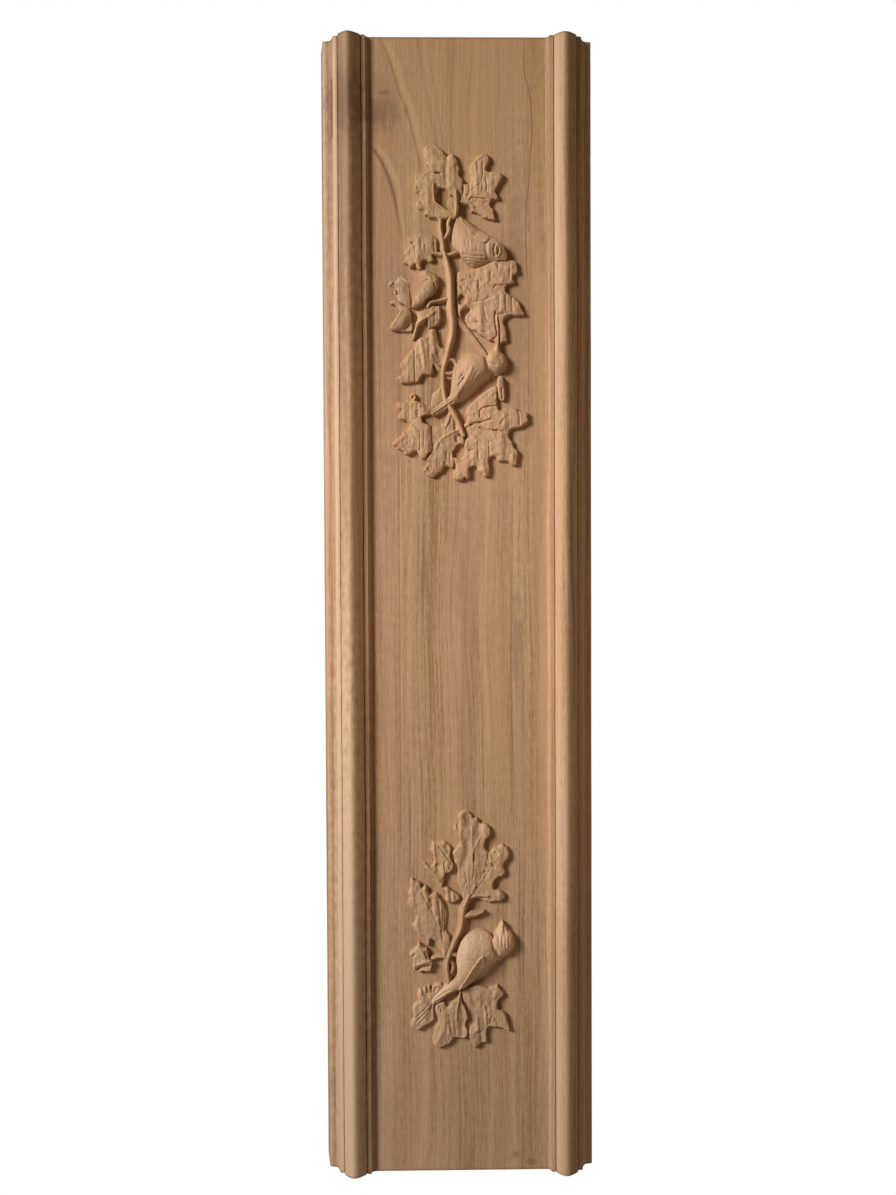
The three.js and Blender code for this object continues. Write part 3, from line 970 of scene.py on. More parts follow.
UPPER_LEAVES = (
    Leaf(
        "upper_crown_left_leaf",
        Rim((
            -16.6, 241.2, -13, 241.8, -10.4, 241, -8.4, 239.6, -7.4, 238, -6.2, 236.6, -5, 236.6, -4, 237.4,
            -2.6, 237.6, -1.4, 236.8, -0.6, 234.6, 0.3, 232, 0.9, 229.8, 0.5, 228, 0.8, 226, 2.2, 225,
            2.8, 223.6, 2.6, 221.6, 2.6, 217, 1.4, 212, 0.4, 207, -1.4, 204.6, -4, 204.4, -7, 203.6,
            -10.6, 203.4, -14.4, 204.2, -16, 205.4, -17.4, 206.2, -18.4, 207.8, -20.2, 208.8, -21.5, 210,
            -21.6, 212, -20.4, 213.8, -19.2, 215.2, -20.2, 216.8, -21.8, 218, -22.8, 219.6, -22.7, 221.2,
            -21.9, 222.6, -22.3, 224.2, -22.3, 226, -20.4, 227, -17.8, 227.4, -16.2, 228, -16.4, 229.6,
            -16.9, 231.4, -16, 233, -16.5, 234.6, -17.4, 236, -17.3, 239.4,
        )),
        holes=(
            Rim((
                -11.4, 214.6, -10.8, 217.8, -9.6, 219.7, -7.4, 219.1, -5.2, 217.8, -4.2, 216.1, -1.9, 215.3,
                -1.8, 212, -2, 208.6, -4.4, 208.6, -6.4, 209.4, -8.4, 210.6, -10.6, 212.2,
            )),
        ),
        lift=0.2,
        strokes=lines(-1.1, 0.45, ((-11.4, 227.3), (-9.2, 227.2)))
        + lines(-0.4, 0.4, ((-16, 227.6), (-11.4, 227.2), (-7, 227.4)))
        + lines(-1.2, 0.5, ((-18, 208.2), (-17, 207)), ((-14.2, 204), (-11, 203.8)))
        + lines(-0.5, 1.0, ((1, 218), (0.8, 212)), ((-5.6, 236), (-6.4, 229), (-6, 222)))
        + lines(0.35, 1.2,
            ((-13, 239), (-12.8, 224)), ((-2.6, 235), (-1.6, 224)), ((-16, 224), (-15.4, 210)),
        )
        + lines(-0.5, 0.6,
            ((-15.6, 231), (-14.4, 229.6)), ((-20.6, 219.4), (-19.4, 217.6)), ((-20, 213.6), (-18.6, 212)),
        ),
        work=HandWork(3, 3.4, 0.22),
        ragged=0.28,
    ),
    Leaf(
        "upper_crown_pocket",
        Rim((-5.2, 213.8, -4.4, 214.6, -1.4, 214.6, -1.2, 208, -3.6, 208, -4.8, 209.6, -5.4, 211.6)),
        edge=0.7,
        crown=1.5,
    ),
    Leaf(
        "upper_crown_right_leaf",
        Rim((
            10.8, 236.7, 13, 237.5, 15, 237.4, 16.1, 236.4, 16.5, 234.6, 16.1, 232.8, 15.2, 231, 15, 229.2,
            16.2, 228.1, 18.4, 228.3, 20.2, 228.3, 22, 227.6, 23.7, 226.5, 23.2, 224.6, 21.9, 222.8,
            21, 220.8, 20, 219.2, 19.6, 218, 20.4, 216.6, 21.1, 215.2, 20.9, 213.8, 19.6, 213.5,
            18.4, 213.9, 17.2, 212.8, 16.8, 211.2, 17.6, 209.8, 18.6, 208.8, 19, 206.4, 19.4, 203.2,
            16.4, 203.5, 13.6, 204.2, 11.8, 205.6, 9.8, 206.8, 8, 207.3, 6.8, 207.2, 6.9, 208.8, 5.4, 210.4,
            3, 211, 1.2, 211.2, 1.4, 214.6, 2.8, 218, 3, 221.7, 6, 221.8, 6.9, 224, 6.6, 226.4, 6.3, 228.4,
            6.2, 230.4, 6.9, 232.4, 8.4, 233.6, 9.4, 235.2,
        )),
        strokes=lines(-0.9, 0.35, ((6.2, 213.4), (7, 214.7), (9, 214.5), (14.4, 214)))
        + lines(-0.6, 0.4, ((6.2, 221.6), (6, 217.4), (5, 215.8)), ((3, 220), (3.2, 217.6)))
        + lines(-0.35, 0.3, ((7, 218), (9, 220), (11.6, 221.8)))
        + lines(-0.4, 0.35,
            ((12.6, 217.6), (13, 220.6), (12.4, 223.4), (13.2, 226.8), (12.9, 230.6), (13, 234.6)),
            ((15, 217.8), (15.2, 221.6), (14.4, 225)), ((10.6, 229), (10.2, 233)),
        )
        + lines(0.3, 0.9, ((9, 233), (9.4, 226), (10, 217)), ((17.6, 226.6), (17.4, 217)))
        + lines(0.9, 0.7, ((1.4, 212.2), (3.4, 212.2), (6, 211.6), (8, 209.6)))
        + lines(0.5, 0.8, ((10.4, 234.6), (13, 236.4)), ((17.4, 227.4), (21.8, 226.8)))
        + lines(-0.4, 0.8, ((9, 212.6), (14, 211.6))),
        work=HandWork(7, 3.0, 0.18),
    ),
    Leaf(
        "upper_small_left_leaf",
        Rim((
            -26, 193.7, -24, 194.6, -21, 195.1, -18, 195.5, -15, 195.7, -12.8, 195, -11.4, 193.4,
            -10.8, 190, -10.9, 186.8, -12, 185.8, -13.2, 184.8, -12.5, 183.2, -13, 182, -15, 181.3,
            -16.2, 182.4, -17.4, 182.5, -18.6, 181.3, -19.4, 179.8, -18.9, 178.4, -20.2, 177.7,
            -21.5, 178.4, -22.2, 180.1, -23.6, 179.4, -24.8, 178.1, -25.6, 178.8, -26, 180, -27.2, 180.5,
            -28.3, 181.2, -27.7, 182.8, -26.8, 184.2, -27.8, 185.4, -27.8, 186.8, -26.5, 188, -25.8, 189.6,
            -24.8, 190.8, -25.4, 192.2,
        )),
        strokes=lines(-1.2, 0.55, ((-24, 191.3), (-23.4, 190.8)))
        + lines(-0.5, 0.8, ((-12.4, 194), (-12, 187)))
        + lines(0.35, 1.4, ((-21, 193), (-21.4, 182)))
        + lines(-0.3, 0.4,
            ((-17, 190.4), (-16.6, 186)), ((-22.4, 189), (-22, 184)), ((-19.4, 193.4), (-19, 188)),
        ),
        work=HandWork(9, 3.0, 0.2),
        ragged=0.26,
        lift=-0.1,
    ),
    Leaf(
        "upper_broad_right_leaf",
        Rim((
            -0.4, 176, 3, 177.4, 8, 178, 12, 179, 16, 181, 19, 182.4, 22, 182.6, 26, 182.8, 29.4, 182.2,
            30.8, 180.4, 31, 178.2, 31.2, 176.4, 30, 175.2, 28.8, 174.2, 28.8, 172.6, 29.8, 171.4,
            29.4, 170.5, 27.4, 170.1, 25.6, 169.5, 24.7, 168, 25.1, 166.3, 26.5, 165.1, 28.2, 163.9,
            30.2, 162.5, 31.8, 160.8, 32.8, 158.4, 33.8, 156.4, 34.6, 154.3, 32.6, 153.7, 30, 153.6,
            28, 154.1, 26.4, 153.8, 24.8, 152.6, 23.7, 151.2, 23.9, 149.6, 24.9, 147.4, 25.4, 144,
            25.6, 140.6, 24, 139.9, 22.4, 139.2, 21.2, 138.2, 19.8, 139.4, 18.2, 141.2, 16, 140.8,
            13.6, 142.4, 11.4, 143.6, 9.6, 145.4, 7, 146.4, 4.6, 148.4, 3, 150.6, 1.2, 152.6, 0.2, 154.6,
            -0.2, 158.4, -0.4, 165, -0.6, 171,
        )),
        holes=(
            Rim((0.2, 163.6, 1.8, 164.5, 3.4, 163.6, 3.5, 161.6, 2.4, 160, 0.6, 159.8, -0.2, 161.4)),
            Rim((
                1.3, 154.6, 2.2, 156.6, 4, 157.4, 6.2, 157.2, 5.6, 155.4, 4, 153.8, 3.8, 151.4, 5, 148.8,
                4.4, 148.2, 2.8, 150.8,
            )),
        ),
        strokes=lines(-0.7, 2.0, ((6.6, 156.6), (5.2, 152), (6.4, 148)))
        + lines(-1.3, 0.36,
            ((19.5, 155.8), (18.9, 153.4), (19.2, 149.6), (20, 145.6), (20, 143.2), (18.4, 141.8)),
            ((20.7, 152.4), (21.4, 148), (21.6, 144), (21.5, 138.6)),
        )
        + lines(0.4, 0.4, ((20.1, 153.8), (20.6, 147), (20.7, 139)))
        + lines(-0.7, 0.45, ((20.6, 154.7), (23.6, 154.7)), ((19, 168.4), (19.4, 169.4), (24.6, 169.4)))
        + lines(-0.65, 0.45,
            ((9.2, 150.5), (10.6, 150.3)), ((13.2, 145.4), (14.8, 145.2)), ((14.8, 142.2), (15.2, 141.2)),
            ((6.4, 174), (8.4, 172.6)), ((5, 168.4), (7, 165.6)), ((10.7, 171.6), (10.4, 168)),
            ((12.8, 161.6), (13.8, 161.3)), ((2.2, 172), (3.6, 171.8)), ((1.4, 168.8), (2.4, 167.4)),
        )
        + lines(-0.45, 0.5,
            ((8, 160.8), (12, 161.4)), ((14.6, 162.6), (17.6, 163.4)), ((20.8, 180), (20.9, 177)),
            ((27, 180), (26.8, 172.4)), ((13.2, 158), (14.6, 152)), ((21.4, 164), (21.2, 157)),
            ((24.8, 164), (25, 157)), ((28, 163), (28.2, 156)), ((17, 176), (16.8, 172)),
        )
        + lines(0.4, 1.2,
            ((15, 176), (14.8, 171)), ((9.6, 170), (9.4, 164)), ((4.6, 163), (4.6, 160), (2, 158.6)),
        )
        + lines(0.35, 1.6, ((11, 156), (11.6, 147)), ((23, 166), (23.4, 157)), ((31, 159), (30.6, 155))),
        work=HandWork(4, 2.3, 0.2),
        lift=-0.1,
    ),
    Leaf(
        "upper_slim_left_leaf",
        Rim((
            -11.6, 158.8, -13.4, 158.7, -15, 157.6, -17, 156.8, -19, 156.2, -21, 156.2, -21.6, 154.6,
            -21.2, 152.6, -22, 150.2, -22.8, 147.2, -23.5, 144, -24.2, 141.4, -23.2, 141.4, -22.2, 143.6,
            -21.2, 146.4, -19.8, 148.8, -17.8, 150.6, -15.8, 151.8, -15.8, 149.4, -15.6, 147.2, -14, 147,
            -12.2, 147.6, -10.8, 148.6, -9.4, 150.2, -9, 153.4, -9.4, 158.4,
        )),
        strokes=lines(0.6, 0.7,
            ((-12.6, 155.6), (-15, 153.6), (-18.2, 151.8), (-21, 149.9), (-22.3, 147), (-23.4, 143)),
        )
        + lines(0.45, 0.5, ((-15.1, 152.6), (-14.9, 148)), ((-10, 158), (-9.9, 152)))
        + lines(-0.4, 0.6, ((-12.2, 157), (-12.4, 149))),
        lift=0.2,
    ),
    Leaf(
        "upper_middle_left_leaf",
        Rim((
            -13.6, 147.2, -15.4, 146.4, -15.8, 144.2, -17.2, 142.7, -19.4, 142.4, -21.2, 141.4,
            -22.6, 139.6, -22.8, 137.4, -24.6, 135.9, -26, 133.6, -27.8, 132, -29.4, 130.2, -30.5, 128.4,
            -30, 126.8, -28.8, 125.4, -29.2, 123.6, -31, 122.5, -32, 121, -30.8, 119.8, -29.8, 118.7,
            -27, 118.6, -24, 119.2, -21.6, 119.2, -20.3, 120.2, -19.6, 121.8, -18.6, 123, -17, 123.2,
            -15, 122.9, -13.6, 123.6, -12.6, 125, -13, 126.8, -12.7, 128.4, -11.2, 129, -9.6, 127.4,
            -8.2, 127.4, -6.6, 131, -6, 136.4, -8.4, 137.2, -9.8, 138.6, -10.4, 141, -11.1, 144.4,
            -11.7, 146.9,
        )),
        strokes=lines(-0.8, 0.34, ((-22.9, 136), (-23, 130), (-22.6, 118.8)))
        + lines(0.5, 1.1,
            ((-13.6, 146), (-13, 140), (-12.4, 134)), ((-19.6, 141), (-18.4, 134), (-17.6, 128)),
        )
        + lines(-0.4, 0.7,
            ((-15.4, 144), (-15.2, 132)), ((-20.4, 133), (-18.6, 127)), ((-13, 133.4), (-11.8, 130.8)),
        )
        + lines(0.3, 1.2, ((-26, 133), (-26.4, 121)))
        + lines(-0.8, 1.6, ((-10.4, 134), (-9.4, 130))),
        work=HandWork(12, 3.0, 0.2),
        lift=-0.1,
    ),
    Leaf(
        "upper_lower_left_leaf",
        Rim((
            -31.6, 108.6, -29.8, 109.4, -27.6, 109.2, -25.8, 109.2, -24.6, 109.8, -25.4, 111.2, -25, 113,
            -23.7, 113.8, -22.4, 113, -21.9, 111.4, -22.2, 109.8, -19.4, 108.6, -16, 107.4, -12.4, 106.4,
            -12.4, 102.6, -16, 102, -18.6, 101.4, -19.2, 99.2, -19.6, 96.4, -24.6, 96.6, -25.6, 97.8,
            -26.8, 98.7, -28.6, 99.1, -30.6, 99.5, -31.5, 100.6, -31.6, 102.4, -30.4, 103.6, -29.8, 104.9,
            -31.2, 105.6, -32.1, 107,
        )),
        strokes=lines(-0.9, 0.45, ((-29.6, 99.9), (-26.8, 99.2)))
        + lines(-0.35, 0.45,
            ((-21.9, 106.4), (-20.8, 106)), ((-21.9, 104.4), (-20.8, 104.2)),
            ((-21.9, 102.6), (-20.9, 102.4)), ((-21.8, 108), (-20.8, 107.8)),
        )
        + lines(-1.2, 0.6, ((-23.9, 111.8), (-23.6, 111.4)))
        + lines(-0.25, 0.35, ((-21.4, 109), (-21.3, 97)), ((-19.4, 108.6), (-19.2, 100.4)))
        + lines(-0.9, 2.4, ((-17, 107), (-14, 104.6)))
        + lines(0.3, 1.0, ((-28.6, 107.6), (-28.2, 100.6))),
        work=HandWork(13, 2.6, 0.2),
        lift=-0.4,
        ragged=0.24,
    ),
    Leaf(
        "upper_back_leaf",
        Rim((-9.2, 116.4, -11, 115.2, -13.4, 113.4, -14.2, 110, -14, 106.6, -11, 106.6, -8.6, 110)),
        edge=0.35,
        crown=0.9,
        roll=2.0,
    ),
    Leaf(
        "upper_foot_slim_leaf",
        Rim((
            -14.4, 96.2, -11.8, 96.9, -9, 97.4, -6.4, 99.2, -4.4, 101.4, -1.8, 101.4, -0.4, 98.4, 0.6, 95.2,
            2, 92, 3.2, 89, 2.6, 86.6, 0.6, 86.8, -1, 86, -1.8, 84.2, -3.2, 83, -3, 80.8, -2.2, 79,
            -2, 76.6, -3.2, 74.6, -4.8, 74.9, -6.4, 75.6, -7.6, 75.4, -8.3, 73.8, -9, 72.4, -10.4, 71.8,
            -11.4, 71, -12.6, 69.8, -14.4, 69.5, -16, 70.1, -17, 71.1, -17.3, 72.5, -18.5, 73.2, -18, 75,
            -16.8, 76.2, -16.2, 77.4, -17, 78.4, -16.5, 79.8, -15.4, 81.4, -14.4, 83, -14.6, 84.4,
            -14.6, 87, -14.6, 91,
        )),
        strokes=lines(0.5, 0.6, ((-0.6, 94.4), (-4.6, 92.4), (-8.6, 90), (-10.8, 87.6), (-12, 84.6)))
        + lines(-0.9, 1.0, ((-1.8, 99.6), (-1.6, 95)))
        + lines(-1.4, 0.9, ((0.8, 91.8), (1.6, 91.4)), ((-1.2, 90.4), (-0.8, 88.6)))
        + lines(-0.4, 0.5, ((-6.2, 94), (-6.4, 98)), ((-4.4, 82), (-4.6, 77.4)), ((-6.4, 83), (-6.2, 78)))
        + lines(0.35, 1.0, ((-8.4, 88), (-8.4, 77)), ((-12.6, 80), (-13.4, 73)))
        + lines(-0.7, 0.5, ((-16.2, 74.4), (-15.2, 73.2)), ((-7, 77.6), (-7.2, 76.4))),
        work=HandWork(15, 2.8, 0.2),
        lift=-0.2,
    ),
    Leaf(
        "upper_foot_left_leaf",
        Rim((
            -26, 96.2, -26.6, 94.8, -28.2, 93.9, -29.6, 93.3, -30, 91.9, -31.2, 90.9, -32.4, 89.6,
            -33.6, 88.6, -34.5, 87.2, -33.6, 86.2, -32.4, 85.8, -31.9, 84.7, -30.4, 84.1, -28.6, 83,
            -28, 81.8, -26.8, 81.5, -25.2, 82.2, -23.6, 83.1, -22.2, 83.3, -21.3, 82.2, -20.8, 80.7,
            -19.6, 79.5, -18, 79.5, -16.8, 80.2, -16.1, 81.6, -15, 82.4, -13.9, 83.2, -13.7, 86, -13.9, 91,
            -14.1, 95.8, -15.4, 97.2, -17, 97.8, -18.6, 98.8, -19.6, 101, -22, 101, -24.4, 98.8,
        )),
        strokes=lines(-0.35, 0.3, ((-20.3, 94), (-20.2, 84)), ((-18.2, 94), (-18.3, 85.4)))
        + lines(-0.8, 0.45, ((-30.2, 92.2), (-29.6, 91.6)), ((-33, 85.6), (-31.8, 84.9)))
        + lines(-0.35, 0.5,
            ((-26.6, 87.4), (-25.2, 87.2)), ((-28, 85.6), (-27, 84.6)), ((-25, 90), (-24.8, 88.4)),
        )
        + lines(0.4, 1.1, ((-16.2, 95), (-16, 83)), ((-31.4, 89), (-29, 90.6)), ((-24.6, 97), (-22.6, 94))),
        work=HandWork(14, 2.8, 0.18),
        lift=0.35,
        ragged=0.24,
    ),
    Leaf(
        "upper_foot_right_leaf",
        Rim((
            4.6, 105, 5.6, 107, 8, 109.6, 10.6, 112, 14, 114.6, 17.4, 116.6, 19.6, 117.4, 20.4, 115.6,
            20.2, 112, 20, 108.4, 20.4, 105.8, 21.8, 104.5, 23.3, 104.9, 24.6, 105.8, 26.2, 105.4, 28, 106,
            30, 105.6, 31.6, 104.6, 33.4, 104, 35.4, 103.8, 36.4, 102.4, 36.1, 100.8, 36.9, 99.4, 36, 98,
            34.6, 97, 33.2, 96, 31, 95.3, 28.6, 95.1, 27.1, 94.3, 26.5, 92.8, 26.4, 91, 26.9, 89.5,
            28.1, 88.4, 28.3, 87, 28.8, 85.5, 30.2, 84, 31.2, 82.6, 31.3, 81, 30.8, 79.4, 30.5, 77.8,
            30.4, 76.4, 29, 75.7, 27.4, 75.9, 26.6, 77, 25.2, 78, 23, 78, 21, 77.6, 19.9, 78.6, 19.5, 80,
            18, 80.7, 16.6, 80.3, 15.8, 79, 15.9, 77, 16.5, 75, 16.1, 73, 15.4, 71.1, 14.5, 69.8, 13, 69.9,
            12.2, 71.2, 11, 71.6, 10, 72.8, 9.5, 74.3, 8.8, 75.4, 7.2, 75.2, 5.6, 74.6, 5.5, 73, 6.1, 71.4,
            5.8, 69.6, 4.6, 68.8, 3.2, 69.4, 2, 68.5, 0, 67.9, -1.9, 68.3, -3.1, 69.6, -3.1, 71.6,
            -2.1, 73.6, -1.9, 76, -2.6, 77.6, -2.8, 80, -1.2, 79.8, 0.6, 79.4, 2.2, 80.4, 3.2, 82.4,
            3.4, 84.6, 2.8, 86.4, 3.4, 88.6, 4.4, 91, 3.6, 94, 2.4, 96.8, 3.6, 98.2, 4.8, 99.6, 5, 101.4,
            4.2, 103,
        )),
        strokes=lines(-1.3, 0.6, ((6.6, 97.2), (8.4, 97.8), (11, 98.2)))
        + lines(-0.9, 0.42,
            ((4.4, 95.6), (6.6, 97.2)), ((11, 98.2), (14, 99), (17, 100.2)),
            ((3.9, 95.8), (4.4, 93.6), (5.6, 91)),
        )
        + lines(-0.8, 0.4,
            ((10.8, 95.6), (14, 94.6), (18, 94.1), (23.4, 93.6)),
            ((11, 101), (11, 104.4), (12.6, 105.8), (16, 106.6), (19.8, 106.8)),
        )
        + lines(-1.0, 0.55,
            ((18.4, 94.2), (20.2, 94.1)), ((5.6, 83.8), (7.4, 83.9)), ((21.4, 77.5), (24.2, 77.3)),
            ((11, 72), (12.4, 71.8)),
        )
        + lines(-0.45, 0.4,
            ((7, 92.4), (10, 90.2), (12.6, 88.4)), ((10.1, 88), (10.2, 80)), ((15.9, 88), (16, 80.6)),
        )
        + lines(-0.5, 0.5,
            ((30.8, 104.8), (31.7, 102.4), (31.9, 97.4)), ((13.8, 103), (15.4, 101)),
            ((22, 97.6), (23.4, 99.6)),
        )
        + lines(0.35, 1.0,
            ((7, 103), (7.6, 99.6)), ((7.6, 81), (7.4, 75.4)), ((0, 75), (0.2, 69.6)), ((4, 74), (4, 70)),
        )
        + lines(0.4, 1.4,
            ((24, 103), (23.6, 96)), ((22.6, 91), (22.4, 80)), ((12.4, 79), (13, 72)),
            ((28.4, 84), (27.6, 78)),
        ),
        work=HandWork(17, 2.6, 0.22),
        lift=0.0,
    ),
)

